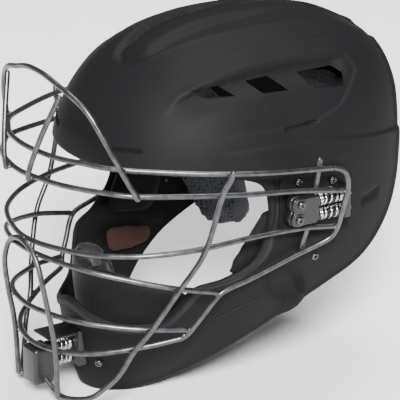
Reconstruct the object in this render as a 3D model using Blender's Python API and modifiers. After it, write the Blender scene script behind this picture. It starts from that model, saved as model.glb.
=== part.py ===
"""Full-shell catcher's style face mask with a wire cage on coil-spring suspension.

Metres, +Z up, worn upright.  -Y is the wearer's front, +X the wearer's left.
The origin is the middle of the head cavity.  Lengths in the tables are in
millimetres and are turned to metres by MM.
"""

import math

import bmesh
import bpy
import numpy as np
from mathutils import Matrix, Vector

MM = 0.001

# ---- driving dimensions (millimetres) -------------------------------------
HALF_WIDTH = 108.0        # head cavity centre to the outside of the temple
CROWN_HEIGHT = 121.0      # to the top of the crown
FRONT_REACH = 127.0       # to the outside of the forehead
REAR_REACH = 162.0        # where the shell's rear curve would close
WALL = 3.2                # moulded shell wall
WIRE = 4.2                # cage wire diameter
GAP = 0.4                 # clearance between touching pieces
STROKE = 8.0              # travel of the cage on its springs
SPRING_TURNS = 5.5
PIN_RADIUS = 2.4          # plungers and chin pins, inside the springs
PLUNGER_START = 16.8      # just inside the carriage's rear face
SIDE_SPRING = dict(x=115.2, y0=18.3, y1=40.4, z=(-0.5, -12.2), radius=4.5, wire=1.6)
CHIN_SPRING = dict(y0=-149.5, y1=-131.4, z=(-121.6, -132.2), radius=4.2, wire=1.5)
PLATE_REACH = 131.0       # cavity centre to the outside of the back plate
PLATE_HALF_WIDTH = 98.0
SIDE_PAD_HALF_WIDTH = 97.0
SIDE_PAD_REACH = 120.0

# Outline of the face opening and of the shell's outer edge, wearer's left
# half, listed in step: row k of one is joined to row k of the other.
OPENING = [(0, -127, 30), (30, -122, 30), (58, -106, 29.5), (80, -83, 28), (95, -52, 25),
           (101, -25, 17), (103, -18, 0), (103, -20, -20), (98, -28, -40), (90, -47, -53),
           (82, -69, -61), (75, -82, -80), (64, -93, -94), (45, -112, -97),
           (22, -126, -92), (0, -131, -86)]
EDGE = [(0, 120, 92), (24, 124, 90), (44, 128, 86), (61, 131, 78), (72, 127, 62),
        (78, 118, 42), (82, 114, 18), (86, 112, -8), (87, 97, -33), (90, 72, -57),
        (92, 38, -73), (88, 6, -89), (76, -27, -113), (55, -60, -148),
        (32, -92, -165), (0, -122, -160)]

# Cage wires: points of the wearer's left half, starting on the middle plane.
BARS = {
    "brow_bar_upper": [(0, -165, 44), (15, -164, 44), (35, -159.5, 43.5), (55, -149, 43),
                       (68, -141, 42.2), (83, -125, 41), (109, -84.5, 38.3),
                       (121.6, -56.7, 36.5), (128, -26, 33.5), (127.4, 24, 27)],
    "brow_bar_lower": [(0, -171.5, 26), (20, -168.4, 25.7), (44.7, -160.8, 25.2),
                       (70, -144, 24), (91, -120.6, 22.3), (115.3, -52.2, 17.3),
                       (122, -2.6, 12.4), (125.8, 34.3, 6.7)],
    "eye_bar": [(0, -168, -27.8), (28, -163, -27.5), (60, -149.5, -26.8), (82, -129, -25.8),
                (95.4, -107.3, -24.6), (105.4, -77.5, -23), (110.8, -35.2, -20.8),
                (117, 3, -20), (121, 30, -22.6)],
    "mouth_bar_upper": [(0, -169, -36), (32, -163.5, -37), (60, -150, -40), (78, -130, -45),
                        (90, -112, -49.5), (98, -95, -53.6), (104.2, -65.4, -61)],
    "mouth_bar_middle": [(0, -167.3, -82.3), (20, -164.5, -82.4), (40, -157.5, -83),
                         (56, -146, -84.4), (70, -129, -86.5), (82, -110, -88.3),
                         (91.7, -83.9, -91)],
    "mouth_bar_lower": [(0, -163, -114.4), (15, -161.3, -114.2), (32, -155.6, -113.2),
                        (46, -147, -111.6), (60, -132, -109), (77, -107, -103.5),
                        (87.2, -85.5, -99)],
    "face_loop": [(0, -160, -140.5), (9, -159, -142), (18, -156.5, -149), (27, -155, -152),
                  (40, -150, -150.5), (50, -143, -147.5), (58, -137, -139),
                  (68, -129.5, -126), (75, -120.5, -106), (86.2, -113, -88.5),
                  (102.6, -97.6, -53), (110, -79.6, -24), (115.4, -68, 19),
                  (123.6, -65.4, 34), (124.6, -64.6, 39.5)],
    "chin_hoop": [(0, -173, -27.5), (9.4, -172.9, -29.2), (19, -172, -36), (23.7, -171.5, -44),
                  (27.5, -171, -55.6), (29.4, -167, -80), (29.7, -163.5, -97),
                  (29.4, -161.4, -116), (29.2, -160, -149.5)],
    "crown_hoop": [(0, -158, 103.5), (14, -157, 102), (31, -155, 97), (46, -153.5, 93),
                   (60, -148.5, 83), (71, -143, 66), (82.2, -134.4, 42), (92.2, -127, 22)],
}
SIDE_WIRES = {
    "hoop_post": [(37, -159.2, 91), (27, -168, 62), (19, -174, 36), (16, -174.4, 25)],
    "side_frame": [(127.5, 25.2, 26.8), (128.4, 33, 23.5), (128.6, 36.6, 16), (127.6, 37.4, 6),
                   (124.6, 35, -10), (122, 33, -23), (120, 28.5, -31), (117, 19, -36),
                   (113, -2, -43), (108.5, -35, -54), (105.4, -59, -60.5),
                   (103, -66.5, -67.5), (98, -73, -79), (92.8, -80.4, -91.5), (89.6, -82, -95.8)],
    "upright": [(123, 14.5, 34), (122.6, 14.4, 28), (119.0, 13.8, 9.5), (116.8, 12.8, -8),
                (113.6, 11.2, -21), (110.6, 8.2, -36), (110.1, 7.6, -42)],
}


# ---- scene, collections and materials --------------------------------------
for old in list(bpy.data.objects):
    bpy.data.objects.remove(old, do_unlink=True)

PARTS = bpy.data.collections.new("face_mask")
CUTTERS = bpy.data.collections.new("cutters")
bpy.context.scene.collection.children.link(PARTS)
bpy.context.scene.collection.children.link(CUTTERS)


def material(name, colour, roughness, metallic=0.0):
    """A Principled material of one colour."""
    made = bpy.data.materials.new(name)
    made.use_nodes = True
    shader = made.node_tree.nodes["Principled BSDF"]
    shader.inputs["Base Color"].default_value = (*colour, 1.0)
    shader.inputs["Roughness"].default_value = roughness
    shader.inputs["Metallic"].default_value = metallic
    return made


def part(name, mesh, colour, roughness, metallic=0.0):
    """Puts a mesh in the parts collection with a material of its own."""
    made = bpy.data.objects.new(name, mesh)
    PARTS.objects.link(made)
    mesh.materials.clear()
    mesh.materials.append(material(name, colour, roughness, metallic))
    return made


def slide_axis(name):
    """An empty on a sliding body's axis, which runs front to back through the origin."""
    made = bpy.data.objects.new(name, None)
    made.empty_display_type = "SINGLE_ARROW"
    made.empty_display_size = 60 * MM
    made.rotation_euler = (math.radians(-90), 0, 0)
    PARTS.objects.link(made)
    return made


def hang(names, axis):
    """Parents the named parts to an axis empty and keeps them where they are."""
    bpy.context.view_layer.update()
    for name in names:
        bpy.data.objects[name].parent = axis
        bpy.data.objects[name].matrix_parent_inverse = axis.matrix_world.inverted()


def cutter(name, mesh):
    """Puts a mesh in the cutters collection, out of the build."""
    made = bpy.data.objects.new(name, mesh)
    CUTTERS.objects.link(made)
    made.hide_render = True
    made.display_type = "WIRE"
    return made


SHELL_BLACK = (0.028, 0.029, 0.031)
PLASTIC_BLACK = (0.012, 0.012, 0.013)
FABRIC_BLACK = (0.016, 0.016, 0.018)
MESH_GREY = (0.06, 0.06, 0.065)
GUNMETAL = (0.2, 0.2, 0.205)
STEEL = (0.55, 0.55, 0.56)
FOAM_BROWN = (0.2, 0.075, 0.03)


# ---- curves and the shell's form --------------------------------------------
def smooth_path(points, count):
    """Catmull-Rom curve through the points, as count points evenly spaced along it."""
    knots = np.array(points, float)
    ends = np.vstack([2 * knots[0] - knots[1], knots, 2 * knots[-1] - knots[-2]])
    spans = np.linspace(0, len(knots) - 1, 12 * len(knots))
    start = np.minimum(spans.astype(int), len(knots) - 2)
    t = (spans - start)[:, None]
    a, b, c, d = (ends[start + k] for k in range(4))
    fine = 0.5 * (2 * b + (c - a) * t + (2 * a - 5 * b + 4 * c - d) * t ** 2
                  + (3 * b - a - 3 * c + d) * t ** 3)
    length = np.concatenate([[0], np.cumsum(np.linalg.norm(np.diff(fine, axis=0), axis=1))])
    wanted = np.linspace(0, length[-1], count)
    return np.stack([np.interp(wanted, length, fine[:, k]) for k in range(3)], axis=1)


def smooth_rows(points, count):
    """Catmull-Rom through rows of a half outline that meets the middle plane squarely."""
    knots = np.array(points, float)
    ends = np.vstack([knots[1] * [-1, 1, 1], knots, knots[-2] * [-1, 1, 1]])
    spans = np.linspace(0, len(knots) - 1, count)
    start = np.minimum(spans.astype(int), len(knots) - 2)
    t = (spans - start)[:, None]
    a, b, c, d = (ends[start + k] for k in range(4))
    return 0.5 * (2 * b + (c - a) * t + (2 * a - 5 * b + 4 * c - d) * t ** 2
                  + (3 * b - a - 3 * c + d) * t ** 3)


def mirrored(points):
    """The left half's points followed to the right, as one path across the middle."""
    left = [(x, y, z) for x, y, z in points]
    right = [(-x, y, z) for x, y, z in reversed(points[1:])]
    return right + left


def wire(name, points, count, diameter=WIRE, colour=GUNMETAL, resolution=2):
    """A bent wire as a POLY curve with filled caps."""
    path = smooth_path(points, count) * MM
    curve = bpy.data.curves.new(name, "CURVE")
    curve.dimensions = "3D"
    curve.bevel_depth = diameter * MM / 2
    curve.bevel_resolution = resolution
    curve.use_fill_caps = True
    spline = curve.splines.new("POLY")
    spline.points.add(len(path) - 1)
    for point, place in zip(spline.points, path):
        point.co = (*place, 1.0)
    return part(name, curve, colour, 0.35, 1.0)


def ease(value):
    """0 to 1 with level ends."""
    value = np.clip(value, 0, 1)
    return value * value * (3 - 2 * value)


def outside(point):
    """Above zero outside the shell's base form: a superellipse in plan whose
    width and reach shrink towards the chin, closed over the crown."""
    x, y, z = point[..., 0], point[..., 1], point[..., 2]
    below = np.maximum(-z, 0)
    width = HALF_WIDTH * (1 - np.minimum(below / 195, 0.99) ** 2.5)
    front = FRONT_REACH * (1 + 0.03 * ease(below / 70)) * (1 - np.minimum(below / 260, 0.99) ** 5)
    reach = np.where(y < 0, front, REAR_REACH)
    side_power = 2.2 - 0.2 * ease(below / 90)
    reach_power = np.where(y < 0, side_power, 2.6)
    top = CROWN_HEIGHT + 0.03 * np.clip(y, -80, 80)
    top_power = 2.35 + 0.6 * ease(y / 100)
    return ((np.abs(x) / width) ** side_power + (np.abs(y) / reach) ** reach_power
            + (np.maximum(z, 0) / top) ** top_power - 1)


def on_form(directions, test=outside, inset=0.0):
    """Where rays from the origin leave the form, less an inset, in millimetres."""
    rays = directions / np.linalg.norm(directions, axis=-1)[..., None]
    near = np.full(rays.shape[:-1], 30.0)
    far = np.full(rays.shape[:-1], 300.0)
    for _ in range(26):
        middle = (near + far) / 2
        out = test(rays * middle[..., None]) > 0
        far = np.where(out, middle, far)
        near = np.where(out, near, middle)
    return rays * (near - inset)[..., None]


def normal_at(direction):
    """The shell's outward normal where a ray from the origin meets it."""
    place = on_form(np.array(direction, float))
    steps = np.eye(3) * 0.5
    slope = outside(place + steps) - outside(place - steps)
    return Vector(place), Vector(slope / np.linalg.norm(slope))


def grid_mesh(name, places, closed=False):
    """An open surface from a grid of points in millimetres, faces turned away
    from the origin."""
    rows, columns = places.shape[:2]
    mesh = bpy.data.meshes.new(name)
    faces = []
    for i in range(rows if closed else rows - 1):
        for j in range(columns - 1):
            a, b = i * columns + j, ((i + 1) % rows) * columns + j
            faces.append((a, b, b + 1, a + 1))
    mesh.from_pydata((places.reshape(-1, 3) * MM).tolist(), [], faces)
    shape = bmesh.new()
    shape.from_mesh(mesh)
    bmesh.ops.recalc_face_normals(shape, faces=shape.faces)
    middle = shape.faces[len(shape.faces) // 2]
    if middle.normal.dot(middle.calc_center_median()) < 0:
        bmesh.ops.reverse_faces(shape, faces=shape.faces)
    shape.to_mesh(mesh)
    shape.free()
    return mesh


def add_wall(made, thickness, bevel=0.0):
    """Solidify inwards, with an optional rounding of the rim."""
    solid = made.modifiers.new("wall", "SOLIDIFY")
    solid.thickness = thickness * MM
    solid.offset = -1
    solid.use_even_offset = True
    if bevel:
        soft = made.modifiers.new("rounding", "BEVEL")
        soft.width = bevel * MM
        soft.segments = 1
        soft.limit_method = "ANGLE"
        soft.angle_limit = math.radians(50)


def patch(name, corners, inset, thickness, size, colour, roughness=0.9, test=outside, bevel=2.0):
    """A pad or plate that follows the form between four corner directions."""
    rows, columns = size
    u = np.linspace(0, 1, rows)[:, None, None]
    v = np.linspace(0, 1, columns)[None, :, None]
    a, b, c, d = (np.array(corner, float) / np.linalg.norm(corner) for corner in corners)
    rays = (1 - v) * ((1 - u) * a + u * b) + v * ((1 - u) * d + u * c)
    mesh = grid_mesh(name, on_form(rays, test, inset))
    made = part(name, mesh, colour, roughness)
    add_wall(made, thickness, bevel)
    return made


def box_mesh(name, low, high, bevel=0.0):
    """A box between two corners, its edges cut back by bevel."""
    shape = bmesh.new()
    bmesh.ops.create_cube(shape, size=1.0)
    low, high = Vector(low), Vector(high)
    bmesh.ops.scale(shape, vec=(high - low) * MM, verts=shape.verts)
    if bevel:
        bmesh.ops.bevel(shape, geom=shape.edges[:], offset=bevel * MM, segments=1,
                        affect="EDGES", profile=0.5)
    bmesh.ops.translate(shape, vec=(low + high) / 2 * MM, verts=shape.verts)
    mesh = bpy.data.meshes.new(name)
    shape.to_mesh(mesh)
    shape.free()
    return mesh


def turned_mesh(name, steps, place, axis, sides=12):
    """Coaxial cylinders stacked from steps of (radius, length) along an axis."""
    shape = bmesh.new()
    rings = []
    height = 0.0
    for radius, length in steps:
        for level in (height, height + length):
            ring = [shape.verts.new((radius * math.cos(2 * math.pi * k / sides) * MM,
                                     radius * math.sin(2 * math.pi * k / sides) * MM,
                                     level * MM)) for k in range(sides)]
            rings.append(ring)
        height += length
    for lower, upper in zip(rings, rings[1:]):
        for k in range(sides):
            m = (k + 1) % sides
            shape.faces.new((lower[k], lower[m], upper[m], upper[k]))
    shape.faces.new(list(reversed(rings[0])))
    shape.faces.new(rings[-1])
    turn = Vector(axis).to_track_quat("Z", "Y").to_matrix().to_4x4()
    shape.transform(Matrix.Translation(Vector(place) * MM) @ turn)
    mesh = bpy.data.meshes.new(name)
    shape.to_mesh(mesh)
    shape.free()
    return mesh


def tube_mesh(name, points, count, radius):
    """A closed tube along a path, made a mesh so that it can cut."""
    curve = bpy.data.curves.new(name, "CURVE")
    curve.dimensions = "3D"
    curve.bevel_depth = radius * MM
    curve.bevel_resolution = 2
    curve.use_fill_caps = True
    spline = curve.splines.new("POLY")
    path = smooth_path(points, count) * MM
    spline.points.add(len(path) - 1)
    for point, place in zip(spline.points, path):
        point.co = (*place, 1.0)
    holder = bpy.data.objects.new(name, curve)
    CUTTERS.objects.link(holder)
    depsgraph = bpy.context.evaluated_depsgraph_get()
    mesh = bpy.data.meshes.new_from_object(holder.evaluated_get(depsgraph))
    bpy.data.objects.remove(holder)
    shape = bmesh.new()
    shape.from_mesh(mesh)
    bmesh.ops.remove_doubles(shape, verts=shape.verts, dist=0.00001)
    shape.to_mesh(mesh)
    shape.free()
    return mesh


def boolean(made, operand, operation="DIFFERENCE"):
    """One exact Boolean of a part with a cutter."""
    step = made.modifiers.new(operation.lower(), "BOOLEAN")
    step.operation = operation
    step.object = operand
    step.solver = "EXACT"


def prism_mesh(name, outline, low, high):
    """An outline in the Y-Z plane pushed along X from low to high."""
    shape = bmesh.new()
    near = [shape.verts.new((low * MM, y * MM, z * MM)) for y, z in outline]
    far = [shape.verts.new((high * MM, y * MM, z * MM)) for y, z in outline]
    shape.faces.new(near)
    shape.faces.new(list(reversed(far)))
    for k in range(len(outline)):
        m = (k + 1) % len(outline)
        shape.faces.new((near[k], far[k], far[m], near[m]))
    bmesh.ops.recalc_face_normals(shape, faces=shape.faces)
    mesh = bpy.data.meshes.new(name)
    shape.to_mesh(mesh)
    shape.free()
    return mesh


SIDES = (("left", 1), ("right", -1))


def flipped(points, side):
    return [(side * x, y, z) for x, y, z in points]


# ---- fasteners: place, direction and the hole each one leaves ----------------
CARRIAGE_SCREWS = (("upper", -1.0, 1.0), ("lower", -2.5, -11.0))
HOUSING_SCREWS = (("front", 5.0, 14.0), ("rear", 36.5, 9.5))
SHELL_SCREWS = {"jaw_screw_left": (103, 24, -50), "jaw_screw_right": (-103, 24, -50),
                "chin_screw_top": (0, -128, -103), "chin_screw_left": (23, -120, -135),
                "chin_screw_right": (-23, -120, -135)}
HEAD_RADIUS = 3.2
SHANK_RADIUS = 1.6
HOLE_RADIUS = 2.1


# ---- shell -------------------------------------------------------------------
def make_shell():
    rim = smooth_rows(OPENING, 38)
    edge = smooth_rows(EDGE, 38)
    rim = np.vstack([rim, rim[-2:0:-1] * [-1, 1, 1]])
    edge = np.vstack([edge, edge[-2:0:-1] * [-1, 1, 1]])
    rim /= np.linalg.norm(rim, axis=1)[:, None]
    edge /= np.linalg.norm(edge, axis=1)[:, None]
    angle = np.arccos((rim * edge).sum(1))[:, None, None]
    w = np.linspace(0, 1, 11)[None, :, None]
    rays = (np.sin((1 - w) * angle) * rim[:, None] + np.sin(w * angle) * edge[:, None])
    mesh = grid_mesh("front_shell", on_form(rays), closed=True)
    shell = part("front_shell", mesh, SHELL_BLACK, 0.5)
    add_wall(shell, WALL)
    vents = {"front": [(-63, 87), (-54, 80), (-31, 80), (-40, 87.5)],
             "middle": [(-18, 88), (-9.5, 79.4), (12.6, 78.6), (2, 88.7)],
             "rear": [(27, 88), (33, 77), (62, 74), (66, 82), (60, 87)]}
    for name, side in SIDES:
        for vent, outline in vents.items():
            hole = prism_mesh("vent", outline, side * 60, side * 130)
            boolean(shell, cutter(f"{vent}_vent_{name}", hole))
    boolean(shell, cutter("crown_vent", box_mesh("crown_vent", (-8, 84, 60), (8, 98, 140))))
    window = box_mesh("chin_window", (-13.2, -140, -138.6), (13.2, -110, -108.2))
    boolean(shell, cutter("chin_window", window))
    for name, ray in SHELL_SCREWS.items():
        place, normal = normal_at(ray)
        hole = turned_mesh("hole", [(HOLE_RADIUS, 16)], place - normal * 8, normal, 8)
        boolean(shell, cutter(name + "_hole", hole))


# ---- pads, liners and straps ---------------------------------------------------
# Corner directions from the head's centre, wearer's left.
SIDE_PAD = [(100, -6, 46), (98, 76, 42), (50, 80, -80), (66, 38, -84)]
CHEEK_PAD = [(104, -12, -2), (105, 18, -46), (99, 2, -78), (88, -50, -62)]
CHEEK_FOAM = [(88, -48, -74), (99, 0, -90), (92, -4, -103), (80, -50, -97)]
BACKING = [(107, -4, 14), (106, 42, 14), (107, 42, -24), (107, -4, -24)]


def side_form(point):
    """Above zero outside the form of the side pads, which hang in towards the neck."""
    x, y, z = point[..., 0], point[..., 1], point[..., 2]
    width = SIDE_PAD_HALF_WIDTH * (1 - np.minimum(np.maximum(-z, 0) / 178, 0.99) ** 2)
    rise = np.maximum(z, 0) / 130
    return (np.abs(x) / width) ** 2.4 + (np.abs(y) / SIDE_PAD_REACH) ** 2.4 + rise ** 2.4 - 1


def make_padding():
    inset = WALL + 1.5
    patch("forehead_pad", [(-64, -98, 22), (64, -98, 22), (46, -92, 80), (-46, -92, 80)],
          inset, 14, (9, 5), MESH_GREY)
    patch("crown_pad", [(-46, -42, 100), (46, -42, 100), (46, 62, 100), (-46, 62, 100)],
          inset, 12, (6, 7), MESH_GREY)
    for name, side in SIDES:
        patch(f"side_pad_{name}", flipped(SIDE_PAD, side), 0, 12, (8, 6), MESH_GREY, test=side_form)
        patch(f"cheek_pad_{name}", flipped(CHEEK_PAD, side), inset + 4, 14, (5, 6), FABRIC_BLACK)
        patch(f"cheek_foam_{name}", flipped(CHEEK_FOAM, side), inset + 2, 11, (5, 3), FOAM_BROWN)
        patch(f"backing_plate_{name}", flipped(BACKING, side), WALL + 0.6, 3.2, (3, 3),
              PLASTIC_BLACK, 0.5, bevel=0)
    chin_cup()


def chin_cup():
    """A U-shaped pad in the chin, standing above the shell's rim."""
    half = np.radians(np.linspace(-50, 50, 13))
    rows = []
    for turn in half:
        level = np.linspace(-62, -146 + 36 * (turn / half[-1]) ** 2, 6)
        cup = np.stack([np.sin(turn) * np.ones(6), -np.cos(turn) * np.ones(6), np.zeros(6)], axis=1)
        width = HALF_WIDTH * (1 - (-level / 195) ** 2.5)
        reach = FRONT_REACH * 1.03 * (1 - (-level / 260) ** 5)
        radius = 1 / np.sqrt((cup[:, 0] / width) ** 2 + (cup[:, 1] / reach) ** 2) - WALL - 10.5
        rows.append(np.column_stack([cup[:, 0] * radius, cup[:, 1] * radius, level]))
    made = part("chin_pad", grid_mesh("chin_pad", np.array(rows)), FABRIC_BLACK, 0.9)
    add_wall(made, 15, 2.0)


def plate_form(point):
    """Above zero outside the back plate's form."""
    x, y, z = point[..., 0], point[..., 1], point[..., 2]
    rise = np.where(z > 0, np.abs(z) / 132, np.abs(z) / 190)
    return (np.abs(x) / PLATE_HALF_WIDTH) ** 2.4 + (np.abs(y) / PLATE_REACH) ** 2.4 + rise ** 2.2 - 1


def make_back_plate():
    corners = [(-74, 96, 66), (74, 96, 66), (62, 108, -78), (-62, 108, -78)]
    patch("back_plate", corners, 0, 3.0, (11, 9), SHELL_BLACK, 0.5, plate_form, 0)
    inner = [(-54, 106, 54), (54, 106, 54), (46, 112, -66), (-46, 112, -66)]
    patch("back_pad", inner, 3.6, 13, (7, 7), MESH_GREY, test=plate_form)


def make_straps():
    """Elastic webbing between the shell's inner wall and the back plate, at rest."""
    for name, side in SIDES:
        path = np.array([(88.5, 90, -18), (84, 100, -18), (79, 106.5, -18)]) * [side, 1, 1]
        strap(f"strap_{name}", path, (0, 0, 19))
    strap("strap_top", np.array([(0, 110, 87.5), (0, 122, 76), (0, 127.5, 66)]), (22, 0, 0))


def strap(name, path, across):
    """Flat webbing 1.6 mm thick along a path, as wide as the vector across it."""
    count = len(path)
    places = np.stack([path - np.array(across) / 2, path + np.array(across) / 2], axis=1)
    made = part(name, grid_mesh(name, places.reshape(count, 2, 3)), FABRIC_BLACK, 0.9)
    add_wall(made, 1.6)


# ---- cage ------------------------------------------------------------------------
WIRE_POINTS = {"face_loop": 58, "chin_hoop": 22, "crown_hoop": 22, "brow_bar_upper": 27,
               "side_frame": 18, "upright": 7, "hoop_post": 7}


def make_cage():
    for name, points in BARS.items():
        wire(name, mirrored(points), WIRE_POINTS.get(name, 23))
    for name, points in SIDE_WIRES.items():
        for label, side in SIDES:
            wire(f"{name}_{label}", flipped(points, side), WIRE_POINTS[name])


def spring(name, x, z, y0, y1, radius, gauge):
    """A coil spring along Y with one turn closed at each end."""
    per_turn = 8
    count = int(SPRING_TURNS * per_turn) + 1
    turn = np.linspace(0, 2 * math.pi * SPRING_TURNS, count)
    rise = y0 + gauge / 2 + (y1 - y0 - gauge) * np.linspace(0, 1, count)
    coil = np.stack([x + radius * np.cos(turn), rise, z + radius * np.sin(turn)], axis=1)
    curve = bpy.data.curves.new(name, "CURVE")
    curve.dimensions = "3D"
    curve.bevel_depth = gauge * MM / 2
    curve.bevel_resolution = 1
    curve.use_fill_caps = True
    line = curve.splines.new("POLY")
    line.points.add(count - 1)
    for point, place in zip(line.points, coil * MM):
        point.co = (*place, 1.0)
    part(name, curve, STEEL, 0.25, 1.0)


def make_suspension():
    """A carriage, cap, housing, two springs and their screws at each temple."""
    upright = SIDE_WIRES["upright"]
    front_shell = bpy.data.objects["front_shell"]
    plunger_length = SIDE_SPRING["y1"] + STROKE + 1.4 - PLUNGER_START
    for label, side in SIDES:
        groove = tube_mesh("groove", flipped(upright, side), WIRE_POINTS["upright"], WIRE / 2 + GAP)
        groove = cutter(f"groove_{label}", groove)
        block = box_between((110.2, -9, -17.2), (118.3, 17.6, 6.5), side, 1.2)
        carriage = part(f"carriage_{label}", block, PLASTIC_BLACK, 0.4)
        boolean(carriage, groove)
        lid = box_between((118.7, -8, -16.6), (122.0, 17, 6), side, 1.2)
        cap = part(f"clamp_cap_{label}", lid, PLASTIC_BLACK, 0.35)
        boolean(cap, groove)
        for level, y, z in CARRIAGE_SCREWS:
            screw(f"carriage_screw_{label}_{level}", (side * 122.3, y, z), (side, 0, 0), 8,
                  (carriage, cap))
        plate = box_between((108.6, -12, -27), (109.8, 50, 19), side, 0.4)
        housing = part(f"side_housing_{label}", plate, PLASTIC_BLACK, 0.5)
        stop = box_between((109.2, 41, -19), (119.6, 47.5, 6.2), side, 1.0)
        boolean(housing, cutter(f"stop_{label}", stop), "UNION")
        x = side * SIDE_SPRING["x"]
        for level, z in zip(("upper", "lower"), SIDE_SPRING["z"]):
            spring(f"spring_{label}_{level}", x, z, SIDE_SPRING["y0"], SIDE_SPRING["y1"],
                   SIDE_SPRING["radius"], SIDE_SPRING["wire"])
            steps = [(PIN_RADIUS, plunger_length)]
            plunger = turned_mesh("plunger", steps, (x, PLUNGER_START, z), (0, 1, 0), 10)
            boolean(carriage, cutter(f"plunger_{label}_{level}", plunger), "UNION")
            bore = turned_mesh("bore", [(PIN_RADIUS + GAP, 20)], (x, 34, z), (0, 1, 0), 10)
            boolean(housing, cutter(f"bore_{label}_{level}", bore))
        for end, y, z in HOUSING_SCREWS:
            backing = bpy.data.objects[f"backing_plate_{label}"]
            screw(f"housing_screw_{label}_{end}", (side * 110.2, y, z), (side, 0, 0), 9,
                  (housing, front_shell, backing))
    chin_suspension()


def box_between(low, high, side, bevel):
    """A box given for the wearer's left side, on either side."""
    xs = sorted((side * low[0], side * high[0]))
    return box_mesh("box", (xs[0], low[1], low[2]), (xs[1], high[1], high[2]), bevel)


def screw(name, place, axis, shank, through):
    """A pan-head screw standing on place, and its hole in the pieces it joins."""
    axis = Vector(axis)
    steps = [(SHANK_RADIUS, shank), (HEAD_RADIUS, 1.4), (HEAD_RADIUS - 0.8, 0.5)]
    part(name, turned_mesh(name, steps, Vector(place) - axis * shank, axis, 10), STEEL, 0.3, 1.0)
    hole = turned_mesh("hole", [(HOLE_RADIUS, shank + 4)], Vector(place) - axis * (shank + 1.5), axis, 8)
    hole = cutter(name + "_hole", hole)
    for piece in through:
        boolean(piece, hole)


def chin_suspension():
    """The chin clamp slides on two pins of a housing screwed into the shell's chin."""
    block = box_mesh("chin_clamp", (-10, -168, -147), (10, -150, -117.2), 1.4)
    clamp = part("chin_clamp", block, PLASTIC_BLACK, 0.4)
    loop = tube_mesh("loop_groove", mirrored(BARS["face_loop"]), WIRE_POINTS["face_loop"],
                     WIRE / 2 + GAP)
    boolean(clamp, cutter("loop_groove", loop))
    body = box_mesh("chin_housing", (-12.6, -131, -138), (12.6, -116, -108.8), 0.8)
    housing = part("chin_housing", body, PLASTIC_BLACK, 0.5)
    roof = box_mesh("chin_roof", (-12.2, -156, -111.4), (12.2, -128, -109.2), 0.4)
    boolean(housing, cutter("chin_roof", roof), "UNION")
    for level, z in zip(("upper", "lower"), CHIN_SPRING["z"]):
        pin = turned_mesh("chin_pin", [(PIN_RADIUS, 31)], (0, -159, z), (0, 1, 0), 10)
        boolean(housing, cutter(f"chin_pin_{level}", pin), "UNION")
        bore = turned_mesh("chin_bore", [(PIN_RADIUS + GAP, 26)], (0, -172, z), (0, 1, 0), 10)
        boolean(clamp, cutter(f"chin_bore_{level}", bore))
        spring(f"chin_spring_{level}", 0, z, CHIN_SPRING["y0"], CHIN_SPRING["y1"],
               CHIN_SPRING["radius"], CHIN_SPRING["wire"])
    for name, ray in SHELL_SCREWS.items():
        place, normal = normal_at(ray)
        steps = [(SHANK_RADIUS, 6), (HEAD_RADIUS, 1.4), (HEAD_RADIUS - 0.8, 0.5)]
        seat = place + normal * (GAP + 0.3 - 6)
        part(name, turned_mesh(name, steps, seat, normal, 10), STEEL, 0.3, 1.0)


def hang_moving_pieces():
    """The cage and the back plate each slide front to back, so each gets an axis empty."""
    moving = list(BARS) + ["chin_clamp"]
    moving += [f"{name}_{label}" for label, _ in SIDES
               for name in (*SIDE_WIRES, "carriage", "clamp_cap")]
    moving += [f"carriage_screw_{label}_{level[0]}" for label, _ in SIDES for level in CARRIAGE_SCREWS]
    hang(moving, slide_axis("cage_slide"))
    hang(["back_plate", "back_pad"], slide_axis("rear_plate_slide"))


make_shell()
make_padding()
make_back_plate()
make_straps()
make_cage()
make_suspension()
hang_moving_pieces()
print("parts:", len(PARTS.objects))
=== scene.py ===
# %% [markdown]
# # A full-shell face mask with a sprung wire cage
#
# The mask is a moulded black shell over padding, with a cage of bent steel wire in front of the
# face. The cage isn't fixed to the shell: it is carried on coil springs at each temple and at
# the chin, so that a blow is softened before it reaches the head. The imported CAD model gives
# every size and every joint. This script builds the fine surfaces round it, in the same place.

# %% Load the frame
import math
import bmesh
import bpy
import numpy as np
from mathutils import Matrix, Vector


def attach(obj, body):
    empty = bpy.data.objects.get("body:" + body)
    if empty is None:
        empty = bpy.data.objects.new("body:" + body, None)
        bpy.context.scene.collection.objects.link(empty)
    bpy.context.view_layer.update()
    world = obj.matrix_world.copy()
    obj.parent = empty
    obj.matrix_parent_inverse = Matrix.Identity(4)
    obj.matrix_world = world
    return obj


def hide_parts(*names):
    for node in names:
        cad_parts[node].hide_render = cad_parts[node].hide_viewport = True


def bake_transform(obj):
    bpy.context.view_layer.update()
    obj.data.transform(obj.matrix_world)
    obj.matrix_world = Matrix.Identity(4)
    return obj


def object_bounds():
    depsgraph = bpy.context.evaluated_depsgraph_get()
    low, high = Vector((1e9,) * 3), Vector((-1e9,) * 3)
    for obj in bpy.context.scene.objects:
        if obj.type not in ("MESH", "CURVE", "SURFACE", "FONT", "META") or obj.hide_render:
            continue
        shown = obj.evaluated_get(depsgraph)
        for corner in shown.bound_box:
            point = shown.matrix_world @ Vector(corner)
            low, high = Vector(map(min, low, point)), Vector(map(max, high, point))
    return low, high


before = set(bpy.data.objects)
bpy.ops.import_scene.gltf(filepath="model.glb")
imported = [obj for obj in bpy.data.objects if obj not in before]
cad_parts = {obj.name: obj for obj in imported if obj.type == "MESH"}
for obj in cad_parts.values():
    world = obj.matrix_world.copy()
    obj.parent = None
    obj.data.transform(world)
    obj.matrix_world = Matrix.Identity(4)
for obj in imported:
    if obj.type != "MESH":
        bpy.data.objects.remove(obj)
cad_box = [list(corner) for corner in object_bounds()]
MM = 0.001
print("CAD box, mm:", [[round(v / MM, 1) for v in corner] for corner in cad_box])

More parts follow.
